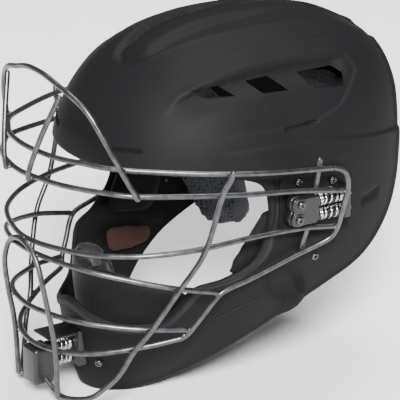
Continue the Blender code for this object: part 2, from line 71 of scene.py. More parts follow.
# %% [markdown]
# ## Camera
#
# The mask is seen from its wearer's left and front, a little from above. A long lens from over
# two metres away keeps the near and far side almost the same size, as a catalogue view does.

# %% Camera
VIEW_AZIMUTH, VIEW_ELEVATION = math.radians(56), math.radians(20)
LENS_MM = 270.0
CAMERA_DISTANCE = 2.34
LOOK_AT = Vector((0, -0.010, -0.030))
toward_camera = Vector((math.sin(VIEW_AZIMUTH) * math.cos(VIEW_ELEVATION),
                        -math.cos(VIEW_AZIMUTH) * math.cos(VIEW_ELEVATION),
                        math.sin(VIEW_ELEVATION)))
camera = bpy.data.objects.new("camera", bpy.data.cameras.new("camera"))
bpy.context.scene.collection.objects.link(camera)
camera.data.lens = LENS_MM
camera.data.sensor_width = 36.0
camera.location = LOOK_AT + toward_camera * CAMERA_DISTANCE
camera.rotation_euler = toward_camera.to_track_quat("Z", "Y").to_euler()
bpy.context.scene.camera = camera

# %% [markdown]
# ## Small tools for surfaces
#
# Every new piece is a grid of points worked out as one array. A grid can be closed round its
# columns, as a tube is, or round both ways, as a ring is. Where it has ends, each end is closed
# by a fan of triangles on one middle point. Points are in millimetres until they enter a mesh.

# %% From a grid of points to a mesh
def grid_faces(rows, columns, round_rows, round_columns):
    """Four corner numbers for each cell of a grid whose points are numbered row by row."""
    i = np.arange(rows if round_rows else rows - 1)[:, None]
    j = np.arange(columns if round_columns else columns - 1)[None, :]
    i_next, j_next = (i + 1) % rows, (j + 1) % columns
    corners = [i * columns + j, i_next * columns + j, i_next * columns + j_next, i * columns + j_next]
    return np.stack([np.broadcast_to(c, (i.size, j.size)).ravel() for c in corners], axis=1)


def grid_mesh(name, places, round_rows=False, round_columns=True, ends=True):
    """A closed mesh from a grid of places. Its volume, summed as the triple product of each
    cell's corners, tells which way the faces point, and they are turned round if inwards."""
    rows, columns = places.shape[:2]
    points = places.reshape(-1, 3)
    quads = grid_faces(rows, columns, round_rows, round_columns)
    fans = np.zeros((0, 3), int)
    if ends:
        around = np.arange(columns)
        after = (around + 1) % columns
        first, last = len(points), len(points) + 1
        points = np.vstack([points, places[0].mean(0), places[-1].mean(0)])
        start = np.stack([after, around, np.full(columns, first)], axis=1)
        finish = np.stack([around, after, np.full(columns, last)], axis=1)
        finish[:, :2] += (rows - 1) * columns
        fans = np.vstack([start, finish])
    triangles = np.vstack([quads[:, [0, 1, 2]], quads[:, [0, 2, 3]], fans])
    a, b, c = (points[triangles[:, k]] for k in range(3))
    if (a * np.cross(b, c)).sum() < 0:
        quads, fans = quads[:, ::-1], fans[:, ::-1]
    mesh = bpy.data.meshes.new(name)
    mesh.from_pydata((points * MM).tolist(), [], quads.tolist() + fans.tolist())
    mesh.update()
    return mesh


def put(name, mesh, material, body, replaces=(), sharp=None):
    """One finished piece: shaded smooth, sharp only past an angle, riding on its body."""
    piece = bpy.data.objects.new(name, mesh)
    bpy.context.scene.collection.objects.link(piece)
    mesh.materials.append(material)
    mesh.shade_smooth()
    if sharp:
        mesh.set_sharp_from_angle(angle=math.radians(sharp))
    if body:
        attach(piece, body)
    if replaces:
        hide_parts(*replaces)
    return piece


# %% Curves, steps and tubes
def ease(value):
    """0 below 0, 1 above 1, and 3v^2 - 2v^3 between, which is level at both ends."""
    value = np.clip(value, 0, 1)
    return value * value * (3 - 2 * value)


def unit(vectors):
    """The same directions at length one."""
    return vectors / np.linalg.norm(vectors, axis=-1, keepdims=True)


def through(knots, spans, closed_by=None):
    """Catmull-Rom curve: between two knots a cubic that passes both and takes its slopes from
    their neighbours. closed_by gives the knots beyond the ends, else they are reflected."""
    knots = np.array(knots, float)
    before, beyond = closed_by or (2 * knots[0] - knots[1], 2 * knots[-1] - knots[-2])
    ends = np.vstack([before, knots, beyond])
    start = np.minimum(spans.astype(int), len(knots) - 2)
    t = (spans - start)[:, None]
    a, b, c, d = (ends[start + k] for k in range(4))
    return 0.5 * (2 * b + (c - a) * t + (2 * a - 5 * b + 4 * c - d) * t ** 2
                  + (3 * b - a - 3 * c + d) * t ** 3)


def even_path(knots, step, soften=0.0):
    """The curve through the knots with a point about every step along it. soften takes a
    weighted mean over that many millimetres each way, as a bending roll does to wire."""
    fine = through(knots, np.linspace(0, len(knots) - 1, 40 * len(knots)))
    length = np.concatenate([[0], np.cumsum(np.linalg.norm(np.diff(fine, axis=0), axis=1))])
    wanted = np.linspace(0, length[-1], max(3, int(length[-1] / step) + 1))
    even = np.stack([np.interp(wanted, length, fine[:, k]) for k in range(3)], axis=1)
    if not soften:
        return even
    reach = min(int(soften / step), (len(even) - 1) // 2)
    weights = np.hanning(2 * reach + 3)[1:-1]
    padded = np.vstack([2 * even[0] - even[reach:0:-1], even, 2 * even[-1] - even[-2:-reach - 2:-1]])
    return np.stack([np.convolve(padded[:, k], weights / weights.sum(), "valid") for k in range(3)], axis=1)


CAP_TURNS = np.radians([80, 60, 40, 20])


def tube_grid(path, radius, outward, sides=16, flat=1.0):
    """Rings of a tube: centre + radius (cos a * normal + sin a * side), where the normal is the
    outward direction made square to the path. Each end closes as half a ball. flat scales the
    tube along its normal."""
    along = unit(np.gradient(path, axis=0))
    normal = unit(outward - (outward * along).sum(-1, keepdims=True) * along)
    centres = np.vstack([path[0] - along[0] * radius * np.sin(CAP_TURNS)[:, None], path,
                         path[-1] + along[-1] * radius * np.sin(CAP_TURNS[::-1])[:, None]])
    radii = np.concatenate([np.cos(CAP_TURNS), np.ones(len(path)), np.cos(CAP_TURNS[::-1])]) * radius
    end_count = len(CAP_TURNS)
    normal = np.vstack([np.repeat(normal[:1], end_count, 0), normal, np.repeat(normal[-1:], end_count, 0)])
    along = np.vstack([np.repeat(along[:1], end_count, 0), along, np.repeat(along[-1:], end_count, 0)])
    side = np.cross(along, normal)
    turn = np.linspace(0, 2 * np.pi, sides, endpoint=False)[None, :, None]
    return centres[:, None] + radii[:, None, None] * (flat * np.cos(turn) * normal[:, None]
                                                      + np.sin(turn) * side[:, None])


SIDES = (("left", 1.0), ("right", -1.0))


def on_side(points, side):
    """Points given for the wearer's left, mirrored where side is -1."""
    return np.array(points, float) * [side, 1, 1]


# %% [markdown]
# ## Tools for materials
#
# Colours are written as the sRGB hex values a paint chart gives, and one function turns them to
# the linear values that the shader needs. One more adds a node with its settings and links.

# %% Colour and node helpers
def linear(hex_colour):
    """sRGB hex to linear: c / 12.92 near black, else ((c + 0.055) / 1.055) ^ 2.4."""
    c = np.array([int(hex_colour[k:k + 2], 16) for k in (0, 2, 4)]) / 255
    return (*np.where(c <= 0.04045, c / 12.92, ((c + 0.055) / 1.055) ** 2.4), 1.0)


def add(tree, kind, links=(), **settings):
    """Adds one node. links pairs an input with the socket that feeds it; a setting is a
    property of the node, or else the value of the input with that name."""
    node = tree.nodes.new(kind)
    for key, value in settings.items():
        if hasattr(node, key):
            setattr(node, key, value)
        else:
            node.inputs[key.replace("_", " ")].default_value = value
    for socket, source in dict(links).items():
        tree.links.new(source, node.inputs[socket])
    return node


def finish_of(name, **settings):
    """A new material with its shader's constant sockets set, ready for a pattern."""
    made = bpy.data.materials.new(name)
    made.use_nodes = True
    tree = made.node_tree
    shader = tree.nodes["Principled BSDF"]
    for key, value in settings.items():
        shader.inputs[key.replace("_", " ")].default_value = value
    place = add(tree, "ShaderNodeTexCoord").outputs["Object"]
    return made, tree, shader, place


def colour_between(tree, shader, factor, low, high, start=0.35, end=0.65):
    """Base colour that runs from low to high as a pattern's value goes from start to end."""
    ramp = add(tree, "ShaderNodeValToRGB", {"Fac": factor})
    ramp.color_ramp.elements[0].position = start
    ramp.color_ramp.elements[1].position = end
    ramp.color_ramp.elements[0].color = linear(low)
    ramp.color_ramp.elements[1].color = linear(high)
    tree.links.new(ramp.outputs["Color"], shader.inputs["Base Color"])
    return ramp


def relief_on(tree, shader, height, depth_mm, strength=1.0):
    """A bump of a real depth in millimetres."""
    bump = add(tree, "ShaderNodeBump", {"Height": height}, Strength=strength, Distance=depth_mm * MM)
    tree.links.new(bump.outputs["Normal"], shader.inputs["Normal"])


def roughness_between(tree, shader, factor, low, high):
    """Roughness that follows a pattern between two values."""
    span = add(tree, "ShaderNodeMapRange", {"Value": factor}, To_Min=low, To_Max=high)
    tree.links.new(span.outputs["Result"], shader.inputs["Roughness"])


# %% [markdown]
# ## Moulded nylon for the shell
#
# The shell is injection-moulded nylon with a fine spark-eroded texture from the mould. That
# gives a satin charcoal: broad soft highlights, no mirror, and a very fine grain. Handled
# edges polish a little lighter, which an attribute painted on the rim carries.

# %% Shell plastic
GRAIN_MM = 0.9      # drawn coarser than the real 0.2 mm grain, so that it shows
CLOUD_MM = 45.0
shell_plastic, tree, shader, place = finish_of("moulded_nylon_spark_texture", Roughness=0.5,
                                               Specular_IOR_Level=0.1)
cloud = add(tree, "ShaderNodeTexNoise", {"Vector": place}, Scale=1 / (CLOUD_MM * MM), Detail=4.0)
grain = add(tree, "ShaderNodeTexNoise", {"Vector": place}, Scale=1 / (GRAIN_MM * MM), Detail=3.0)
tint = add(tree, "ShaderNodeValToRGB", {"Fac": cloud.outputs["Fac"]})
tint.color_ramp.elements[0].color, tint.color_ramp.elements[1].color = linear("111112"), linear("151516")
rim = add(tree, "ShaderNodeAttribute", attribute_name="handled")
polished = add(tree, "ShaderNodeMixRGB", {"Fac": rim.outputs["Fac"], "Color1": tint.outputs["Color"]},
               Color2=linear("303032"))
tree.links.new(polished.outputs["Color"], shader.inputs["Base Color"])
roughness_between(tree, shader, cloud.outputs["Fac"], 0.56, 0.66)
relief_on(tree, shader, grain.outputs["Fac"], 0.05, 0.5)

# %% [markdown]
# ## Glass-filled nylon for the fittings
#
# Carriages, caps and housings are glass-filled nylon: nearly black and a little glossier than
# the shell, with a mottled skin where glass fibres lie near the surface.

# %% Fitting plastic
FIBRE_MM = 1.6
fitting_plastic, tree, shader, place = finish_of("glass_filled_nylon_moulded", Roughness=0.34, IOR=1.53)
mottle = add(tree, "ShaderNodeTexNoise", {"Vector": place}, Scale=1 / (FIBRE_MM * MM), Detail=5.0)
colour_between(tree, shader, mottle.outputs["Fac"], "0b0b0b", "131313")
roughness_between(tree, shader, mottle.outputs["Fac"], 0.26, 0.44)
relief_on(tree, shader, mottle.outputs["Fac"], 0.03, 0.5)

# %% [markdown]
# ## Coated cage wire
#
# The cage is hard carbon-steel wire under a thin gunmetal coat. It still reads as metal, with a
# bright line along each wire, and the coat is slightly uneven from the dip.

# %% Cage wire
DIP_MM, COAT_MM = 6.0, 0.8
cage_metal, tree, shader, place = finish_of("gunmetal_coated_steel_wire", Metallic=0.88, Roughness=0.3)
dip = add(tree, "ShaderNodeTexNoise", {"Vector": place}, Scale=1 / (DIP_MM * MM), Detail=4.0)
fine = add(tree, "ShaderNodeTexNoise", {"Vector": place}, Scale=1 / (COAT_MM * MM), Detail=2.0)
colour_between(tree, shader, dip.outputs["Fac"], "48484b", "5c5c5f")
roughness_between(tree, shader, dip.outputs["Fac"], 0.24, 0.38)
relief_on(tree, shader, fine.outputs["Fac"], 0.02, 0.4)

# %% Spring and screw steel
# Springs are bright drawn music wire: a fine mottle from the drawing, almost white highlights.
DRAWN_MM, TUMBLED_MM = 1.2, 0.9
spring_metal, tree, shader, place = finish_of("drawn_music_wire", Metallic=1.0, Roughness=0.16)
drawn = add(tree, "ShaderNodeTexNoise", {"Vector": place}, Scale=1 / (DRAWN_MM * MM), Detail=3.0)
colour_between(tree, shader, drawn.outputs["Fac"], "c9cacc", "e6e6e8")
roughness_between(tree, shader, drawn.outputs["Fac"], 0.12, 0.24)

# Screws are zinc-plated and blackened steel, smooth, with a dull sheen left by the tumbling.
screw_metal, tree, shader, place = finish_of("blackened_zinc_plated_steel", Metallic=1.0, Roughness=0.24)
tumbled = add(tree, "ShaderNodeTexNoise", {"Vector": place}, Scale=1 / (TUMBLED_MM * MM), Detail=3.0)
colour_between(tree, shader, tumbled.outputs["Fac"], "4b4b4e", "6a6a6d")
roughness_between(tree, shader, tumbled.outputs["Fac"], 0.2, 0.34)

# %% [markdown]
# ## Fabrics and foam
#
# The brow and temple pads wear a knitted spacer mesh: rows of small round holes about three
# millimetres apart, each painted dark as the shade inside it, with paler yarn between. Cell
# noise makes holes of that size.
# The chin and cheek pads wear a plain black knit with a soft sheen, and the cheek foam is cut
# raw, so its open cells show, each painted darker at its middle as the shade inside the pore.

# %% Fabrics
HOLE_MM = 3.0
spacer_mesh, tree, shader, place = finish_of("knitted_spacer_mesh", Roughness=0.88, Sheen_Weight=0.25,
                                             Sheen_Roughness=0.5)
holes = add(tree, "ShaderNodeTexVoronoi", {"Vector": place}, Scale=1 / (HOLE_MM * MM), Randomness=0.35)
# Painted shade: each hole is coloured near black (0c0d0f) for the shade inside it, and the yarn between is
# paler.
colour_between(tree, shader, holes.outputs["Distance"], "0c0d0f", "3b3c41", 0.16, 0.5)
relief_on(tree, shader, holes.outputs["Distance"], 0.7, 0.9)

YARN_MM = 1.1
black_knit, tree, shader, place = finish_of("black_polyester_knit", Roughness=0.85, Sheen_Weight=0.06,
                                            Sheen_Roughness=0.4, Specular_IOR_Level=0.2)
yarn = add(tree, "ShaderNodeTexVoronoi", {"Vector": place}, Scale=1 / (YARN_MM * MM), Randomness=0.5)
colour_between(tree, shader, yarn.outputs["Distance"], "070708", "121213", 0.1, 0.6)
relief_on(tree, shader, yarn.outputs["Distance"], 0.25, 0.6)

CELL_MM = 1.3
raw_foam, tree, shader, place = finish_of("cut_open_cell_foam", Roughness=0.95)
cells = add(tree, "ShaderNodeTexVoronoi", {"Vector": place}, Scale=1 / (CELL_MM * MM), Randomness=1.0)
# The foam's own colour is dark brown; the darker middle of each cell (120804) is painted shade inside the
# pore.
colour_between(tree, shader, cells.outputs["Distance"], "120804", "33180d", 0.1, 0.6)
relief_on(tree, shader, cells.outputs["Distance"], 0.5, 0.8)

RIB_MM = 1.5        # width of one rib; the gap after it is about as wide
elastic_web, tree, shader, place = finish_of("woven_elastic_webbing", Roughness=0.8, Sheen_Weight=0.2)
ribs = add(tree, "ShaderNodeTexWave", {"Vector": place}, Scale=1 / (RIB_MM * MM) / 6.28, Distortion=0.4,
           bands_direction="Z")
# Painted shade: the gaps between the ribs are coloured darker (121213) than the ribs, for the shade that
# falls in them.
colour_between(tree, shader, ribs.outputs["Fac"], "121213", "2c2c2e", 0.2, 0.8)
relief_on(tree, shader, ribs.outputs["Fac"], 0.3, 0.7)
print("materials:", len(bpy.data.materials))

# %% [markdown]
# ## The form of the shell
#
# The CAD shell lies on one smooth form: in plan a superellipse (|x|/w)^p + (|y|/r)^q = 1, closed
# over the crown by a third term in z, whose width and reach shrink towards the chin. Rays from
# the middle of the head are stopped where they leave the form, by halving. The outline of the
# face opening and of the outer edge are smooth curves, and the shell spans from one to the
# other by turning each opening ray towards its edge ray.

# %% Form of the shell
WALL = 3.2
HALF_WIDTH, FRONT_REACH, REAR_REACH, CROWN_HEIGHT = 108, 127, 162.0, 121


def outside(point):
    """The superellipse sum less one: below zero inside the form, above zero outside."""
    x, y, z = point[..., 0], point[..., 1], point[..., 2]
    below = np.maximum(-z, 0)
    width = HALF_WIDTH * (1 - np.minimum(below / 195, 0.99) ** 2.5)
    front = FRONT_REACH * (1 + 0.03 * ease(below / 70)) * (1 - np.minimum(below / 260, 0.99) ** 5)
    reach = np.where(y < 0, front, REAR_REACH)
    side_power = 2.2 - 0.2 * ease(below / 90)
    reach_power = np.where(y < 0, side_power, 2.6)
    top = CROWN_HEIGHT + 0.03 * np.clip(y, -80, 80)
    top_power = 2.35 + 0.6 * ease(y / 100)
    return ((np.abs(x) / width) ** side_power + (np.abs(y) / reach) ** reach_power
            + (np.maximum(z, 0) / top) ** top_power - 1)


def on_form(rays, test=outside):
    """Halves the stretch between 30 and 300 mm on each ray until it holds the surface."""
    rays = unit(rays)
    near, far = np.full(rays.shape[:-1], 30.0), np.full(rays.shape[:-1], 300.0)
    for _ in range(26):
        middle = (near + far) / 2
        out = test(rays * middle[..., None]) > 0
        far, near = np.where(out, middle, far), np.where(out, near, middle)
    return rays * near[..., None]


def normals_of(places, test=outside):
    """Outward normals: the slope of the form's sum, by small steps along x, y and z."""
    steps = np.eye(3) * 0.4
    slope = np.stack([test(places + step) - test(places - step) for step in steps], axis=-1)
    return unit(slope)


OPENING = [(0, -127, 30), (30, -122, 30), (58, -106, 29.5), (80, -83, 28), (95, -52, 25),
           (101, -25, 17), (103, -18, 0), (103, -20, -20), (98, -28, -40), (90, -47, -53),
           (82, -69, -61), (75, -82, -80), (64, -93, -94), (45, -112, -97),
           (22, -126, -92), (0, -131, -86)]
EDGE = [(0, 120, 92), (24, 124, 90), (44, 128, 86), (61, 131, 78), (72, 127, 62),
        (78, 118, 42), (82, 114, 18), (86, 112, -8), (87, 97, -33), (90, 72, -57),
        (92, 38, -73), (88, 6, -89), (76, -27, -113), (55, -60, -148),
        (32, -92, -165), (0, -122, -160)]
FINE_KNOTS, FINE_SHARE = 5.5, 3.0     # over the crown, columns stand three times as close


def whole_outline(half, count):
    """A left half outline made smooth, mirrored, and listed once round. Columns stand closer
    over the crown, where the relief crosses them at a slant."""
    knots = np.array(half, float)
    flip = np.array([-1, 1, 1])
    place = np.linspace(0, len(knots) - 1, 2001)
    weight = np.concatenate([[0], np.cumsum(np.where(place[1:] < FINE_KNOTS, FINE_SHARE, 1.0))])
    columns = np.interp(np.linspace(0, weight[-1], count), weight, place)
    left = through(knots, columns, (knots[1] * flip, knots[-2] * flip))
    return np.vstack([left, left[-2:0:-1] * flip])


# %% [markdown]
# ## Relief on the shell
#
# What makes the shell a design and not an egg is its relief: a long channel over the crown with
# a raised spine, a scoop on each side that feeds three vents, a panel bounded by a diagonal
# edge, a skirt that stands proud of it, a bead round the face opening, and a flared port in the
# jaw. Each is a height in millimetres as a function of place, and they are added together.

# %% Distances in the plane
def to_line(a, b, line):
    """Distance from each point (a, b) to a line of straight runs: for each run the nearest
    place on it, then the least of all. Also the side, above zero on the left, and how far
    along the line, from 0 to 1."""
    line = np.array(line, float)
    runs = np.diff(line, axis=0)
    lengths = np.linalg.norm(runs, axis=1)
    reach = np.concatenate([[0], np.cumsum(lengths)])
    best, side, share = np.full(a.shape, 1e9), np.zeros(a.shape), np.zeros(a.shape)
    for start, run, length, before in zip(line, runs, lengths, reach):
        da, db = a - start[0], b - start[1]
        t = np.clip((da * run[0] + db * run[1]) / length ** 2, 0, 1)
        apart = np.hypot(da - t * run[0], db - t * run[1])
        nearer = apart < best
        best = np.where(nearer, apart, best)
        side = np.where(nearer, np.sign(run[0] * db - run[1] * da), side)
        share = np.where(nearer, (before + t * length) / reach[-1], share)
    return best, side, share


def groove(a, b, line, half_width, depth):
    """A slit along a line, with soft walls, tapering over a tenth of its length at each end."""
    apart, _, share = to_line(a, b, line)
    taper = ease(np.minimum(share, 1 - share) * 10)
    across = ease((half_width * (0.4 + 0.6 * taper) - apart) / 1.4 + 0.5)
    return -depth * across * ease(share * 40) * ease((1 - share) * 40)


def inside_of(a, b, outline, soft):
    """1 inside a closed outline and 0 outside, turning over a soft border. A point is inside
    if a line sideways from it crosses the outline an odd number of times."""
    ring = np.array(outline + outline[:1], float)
    apart, _, _ = to_line(a, b, ring)
    crossings = np.zeros(a.shape, int)
    for (a0, b0), (a1, b1) in zip(ring, ring[1:]):
        spans = (b0 > b) != (b1 > b)
        crossings += spans & (a < (a1 - a0) * (b - b0) / (b1 - b0 + 1e-12) + a0)
    signed = np.where(crossings % 2 == 1, apart, -apart)
    return ease(signed / soft + 0.5)


# %% Crown channel
CHANNEL = ((-85, -82, -77, -70, -51, -32, -15, 0, 60, 100, 130),
           (0, 11, 17.5, 21, 27, 31.5, 34, 35, 35, 37, 38))


def crown_relief(x, y, z):
    """A channel 5 mm deep whose half width follows y, with a spine down the middle that keeps
    the full height, and a slit at the foot of each wall."""
    half = np.interp(y, *CHANNEL, left=-20)
    depth = 5.0 - 3.2 * ease(y / 60)
    valley = ease((half - np.abs(x)) / 5.0)
    spine = 1 - ease((np.abs(x) - 7) / 10) * ease((y + 86) / 26)
    spine = np.where(y < -60, spine * ease((y + 80) / 20), spine)
    height = -depth * valley * (1 - 0.92 * spine)
    slit = groove(np.abs(x), y, [(17, -66), (24, -48), (28.5, -25), (31, 2)], 1.1, 2.0)
    lip = 0.8 * np.exp(-((np.abs(x) - half - 1.5) / 2.2) ** 2) * ease((y + 84) / 20) * ease((40 - y) / 40)
    return (height + slit + lip) * ease((z - 70) / 15)


# %% Side scoop, panel and skirt
SCOOP_TOP = [(-88, 68), (-78, 75), (-71, 81), (-55, 88), (-35, 92.5), (-13, 95.5), (32, 96.5), (74, 93.5)]
PANEL = [(-70, 50), (-38, 56.5), (-5, 55), (24, 54.5), (54, 63), (79, 83), (75, 95), (32, 98),
         (-13, 97), (-55, 90), (-90, 66)]
SKIRT = ((-75, -48, -16, 29, 107, 140), (42, 45, 46, 43, 32, 28))


def side_relief(x, y, z):
    """The scoop drops 4.2 mm just under its upper edge and climbs back over 15 mm. The panel is
    sunk 1.5 mm, and the skirt stands 1.8 mm proud below its line. A crease runs along the side
    of the crown, and a short slit lies on the panel's lower edge."""
    apart, side, share = to_line(y, z, SCOOP_TOP)
    under = np.where(side < 0, apart, -apart)
    scoop = -4.2 * ease(under / 2.2 + 0.3) * (1 - ease((under - 3) / 15))
    scoop = scoop * ease(share / 0.25) * ease((1 - share) * 12) * (np.abs(x) > 45)
    lip = 0.9 * np.exp(-((under + 1.6) / 1.8) ** 2) * ease(share / 0.2)
    panel = -1.5 * inside_of(y, z, PANEL, 2.4) * ease((y + 62) / 45)
    skirt = 1.8 * ease((np.interp(y, *SKIRT) - z) / 2.6) * ease((y + 58) / 35)
    crease_x = np.interp(y, (-52, -36, 8, 52, 98), (49, 53, 55, 58, 53))
    past = np.abs(x) - crease_x
    crease = -0.9 * ease(past / 2.0 + 0.5) * np.exp(-np.maximum(past, 0) / 9) * (z > 80)
    crease = crease * ease((y + 55) / 20) * ease((100 - y) / 20)
    slot = groove(y, z, [(-1, 53.6), (14, 54.0), (30, 55.2)], 1.4, 2.4)
    return scoop + lip * (np.abs(x) > 45) + panel + skirt + crease + slot


# %% Brow, jaw and the pocket under each suspension
PORT = [(-22, -54), (-12, -49), (2, -55), (13, -68), (19, -84), (4, -84), (-14, -73)]


def face_relief(x, y, z):
    """Brow slits, the jaw port with its flared lip, a slit and a seam on the jaw, and a slot
    for a strap."""
    brow = groove(np.abs(x), z, [(33, 42.5), (46, 44.2), (60, 45)], 1.3, 2.3) * (y < -90)
    port = -4.6 * inside_of(y, z, PORT, 7.0) * (np.abs(x) > 60)
    lip = 3.4 * np.exp(-((y - 11) / 11) ** 4 - ((z + 90) / 6) ** 2)
    jaw = groove(y, z, [(-55, -94), (-38, -83), (-20, -75)], 0.9, 1.6) * (np.abs(x) > 60)
    seam_y = np.interp(z, (-162, -132, -109, -89), (-77, -67, -57, -54))
    seam = -0.9 * ease((y - seam_y) / 2.4) * np.exp(-np.maximum(y - seam_y, 0) / 12) * (z < -86)
    strap = groove(y, z, [(68, -15.5), (78, -14.6), (89, -12.5)], 2.4, 2.4) * (np.abs(x) > 60)
    return brow + port + lip * (np.abs(x) > 60) + jaw + seam * ease((-86 - z) / 8) + strap


def pocket(y, z):
    """1 under the flat housing of a temple suspension, where the form stays untouched."""
    out = [(-16, -31), (-16, 23), (54, 23), (54, -31)]
    return inside_of(y, z, out, 6.0)


def full_relief(places, from_rim, from_edge):
    """All heights together, with a raised outer edge and the bead on the opening, which is low
    where the eye bar passes over it as the cage moves in."""
    x, y, z = (places[..., k] for k in range(3))
    bead = 1.5 * ease(from_rim / 1.6) * (1 - ease((from_rim - 6.0) / 2.0))
    bead = bead * ease((26 - z) / 12)
    under_eye_bar = np.exp(-((y + 21) / 9) ** 4 - ((z + 20.5) / 9) ** 4) * (np.abs(x) > 60)
    bead = bead * (1 - 0.8 * under_eye_bar)
    flare = 1.3 * np.exp(-(from_edge / 3.5) ** 2)
    height = crown_relief(x, y, z) + side_relief(x, y, z) + face_relief(x, y, z) + bead + flare
    clear = 1 - pocket(y, z) * (np.abs(x) > 60)
    chin_flat = 1 - ease((17 - np.abs(x)) / 4) * ease((-98 - z) / 6)
    return height * clear * chin_flat


# %% [markdown]
# ## The shell's wall
#
# Going once round the wall's section, from the opening to the outer edge on the outside and
# back on the inside, makes the shell one ring-shaped grid with no seam. The inner skin stays
# smooth, except where the relief outside would leave the wall too thin.

# %% Build the shell
AROUND, ACROSS, INNER = 241, 150, 24
rim_rays = unit(whole_outline(OPENING, AROUND))
edge_rays = unit(whole_outline(EDGE, AROUND))
apart_angle = np.arccos((rim_rays * edge_rays).sum(1))[:, None, None]


def between(share):
    """Rays turned evenly from the opening (0) to the edge (1): the sines of the two parts of
    the angle weigh the two rays."""
    share = share[None, :, None]
    return (np.sin((1 - share) * apart_angle) * rim_rays[:, None]
            + np.sin(share * apart_angle) * edge_rays[:, None])


def skin(share):
    """Form, normals, distances to both borders and the relief, on a grid of rays."""
    places = on_form(between(share))
    run = np.linalg.norm(np.diff(places, axis=1), axis=2)
    total = run.sum(1)[:, None]
    gone = np.concatenate([np.zeros((len(run), 1)), np.cumsum(run, axis=1)], axis=1)
    return places, normals_of(places), gone, total - gone, full_relief(places, gone, total - gone)


outer_share = np.linspace(0, 1, ACROSS)
outer, outer_normal, from_rim, from_edge, height = skin(outer_share)
inner, inner_normal, _, _, inner_height = skin(np.linspace(1, 0, INNER))
outer_skin = outer + outer_normal * height[..., None]
drop = np.minimum(-WALL, inner_height - 1.5)
inner_skin = inner + inner_normal * drop[..., None]


def rounded_border(first, last, bulge):
    """Points on a half circle from one skin to the other, bulging away from the wall."""
    turn = np.linspace(0, np.pi, 6)[1:-1][None, :, None]
    middle, arm = (first + last) / 2, (first - last) / 2
    return middle[:, None] + np.cos(turn) * arm[:, None] + np.sin(turn) * bulge[:, None]


out_of_edge = unit(outer[:, -1] - outer[:, -2]) * WALL * 0.45
out_of_rim = unit(outer[:, 0] - outer[:, 1]) * WALL * 0.45
section = np.concatenate([outer_skin, rounded_border(outer_skin[:, -1], inner_skin[:, 0], out_of_edge),
                          inner_skin, rounded_border(inner_skin[:, -1], outer_skin[:, 0], out_of_rim)],
                         axis=1)
shell_mesh = grid_mesh("shell", section, round_rows=True, round_columns=True, ends=False)
handled = np.zeros(section.shape[:2], np.float32)
handled[:, :ACROSS] = (0.55 * np.exp(-(from_rim - 5.0) ** 2 / 8) * ease((20 - outer[..., 2]) / 12)
                       + 0.35 * np.exp(-(from_edge / 1.6) ** 2))
painted = shell_mesh.attributes.new("handled", "FLOAT", "POINT")
painted.data.foreach_set("value", handled.ravel())
shell = put("shell_moulding", shell_mesh, shell_plastic, "shell", ["front_shell"], 42)
print("shell triangles:", 2 * len(shell_mesh.polygons))

# %% [markdown]
# ## Cut the vents
#
# The vents go right through, so they are cut with a Boolean. Each cutter is an outline pushed
# sideways through the wall. All cutters are one mesh, so that the slow exact solver runs once.

# %% Vents and the chin window
VENTS = ([(-63, 87), (-54, 80), (-31, 80), (-40, 87.5)],
         [(-18, 88), (-9.5, 79.4), (12.6, 78.6), (2, 88.7)],
         [(27, 88), (33, 77), (62, 74), (66, 82), (60, 87)])


def rounded_outline(outline, radius, per_corner=5):
    """Each corner is cut by an arc that leaves one side and joins the next: a quadratic curve
    from one tangent point to the other with the corner as its handle."""
    ring = np.array(outline, float)
    to_before = unit(np.roll(ring, 1, axis=0) - ring) * radius
    to_after = unit(np.roll(ring, -1, axis=0) - ring) * radius
    t = np.linspace(0, 1, per_corner)[None, :, None]
    arc = ((1 - t) ** 2 * (ring + to_before)[:, None] + 2 * t * (1 - t) * ring[:, None]
           + t ** 2 * (ring + to_after)[:, None])
    return arc.reshape(-1, arc.shape[-1])


def pushed(outline, axis, low, high):
    """A prism: the outline in the plane square to the axis, at two places along it."""
    flat = np.insert(np.repeat(outline[None], 2, axis=0), axis, 0.0, axis=2)
    flat[0, :, axis], flat[1, :, axis] = low, high
    return flat


def joined(name, meshes):
    """Several meshes as one."""
    together = bmesh.new()
    for mesh in meshes:
        together.from_mesh(mesh)
    made = bpy.data.meshes.new(name)
    together.to_mesh(made)
    together.free()
    return made


holes = [grid_mesh("vent", pushed(rounded_outline(vent, 1.6), 0, side * 60.0, side * 130.0))
         for vent in VENTS for _, side in SIDES]
crown_hole = rounded_outline([(-8, 84), (8, 84), (6.5, 98), (-6.5, 98)], 3.0)
holes.append(grid_mesh("crown_vent", pushed(crown_hole, 2, 60.0, 140.0)))
chin_hole = rounded_outline([(-13.2, -138.6), (13.2, -138.6), (13.2, -108.2), (-13.2, -108.2)], 1.5)
holes.append(grid_mesh("chin_window", pushed(chin_hole, 1, -145.0, -105.0)))
hole_tool = bpy.data.objects.new("hole_tool", joined("hole_tool", holes))
bpy.context.scene.collection.objects.link(hole_tool)
cut = shell.modifiers.new("vents", "BOOLEAN")
cut.object, cut.solver, cut.operation = hole_tool, "EXACT", "DIFFERENCE"
bpy.context.view_layer.update()
cut_mesh = bpy.data.meshes.new_from_object(shell.evaluated_get(bpy.context.evaluated_depsgraph_get()))
shell.modifiers.clear()
shell.data = cut_mesh
cut_mesh.set_sharp_from_angle(angle=math.radians(42))
bpy.data.objects.remove(hole_tool)
print("shell after the cuts:", len(cut_mesh.vertices), "points")

# %% [markdown]
# ## Cage wires
#
# The cage is cold-bent round wire, welded where two wires meet. Each wire is a tube carried
# along a smooth path. A bar or hoop is given from the middle plane outwards and mirrored into
# one wire, and a side wire is given once and made for both sides. A weld leaves a small nugget
# of metal between the two wires, so one is put wherever two paths come close.

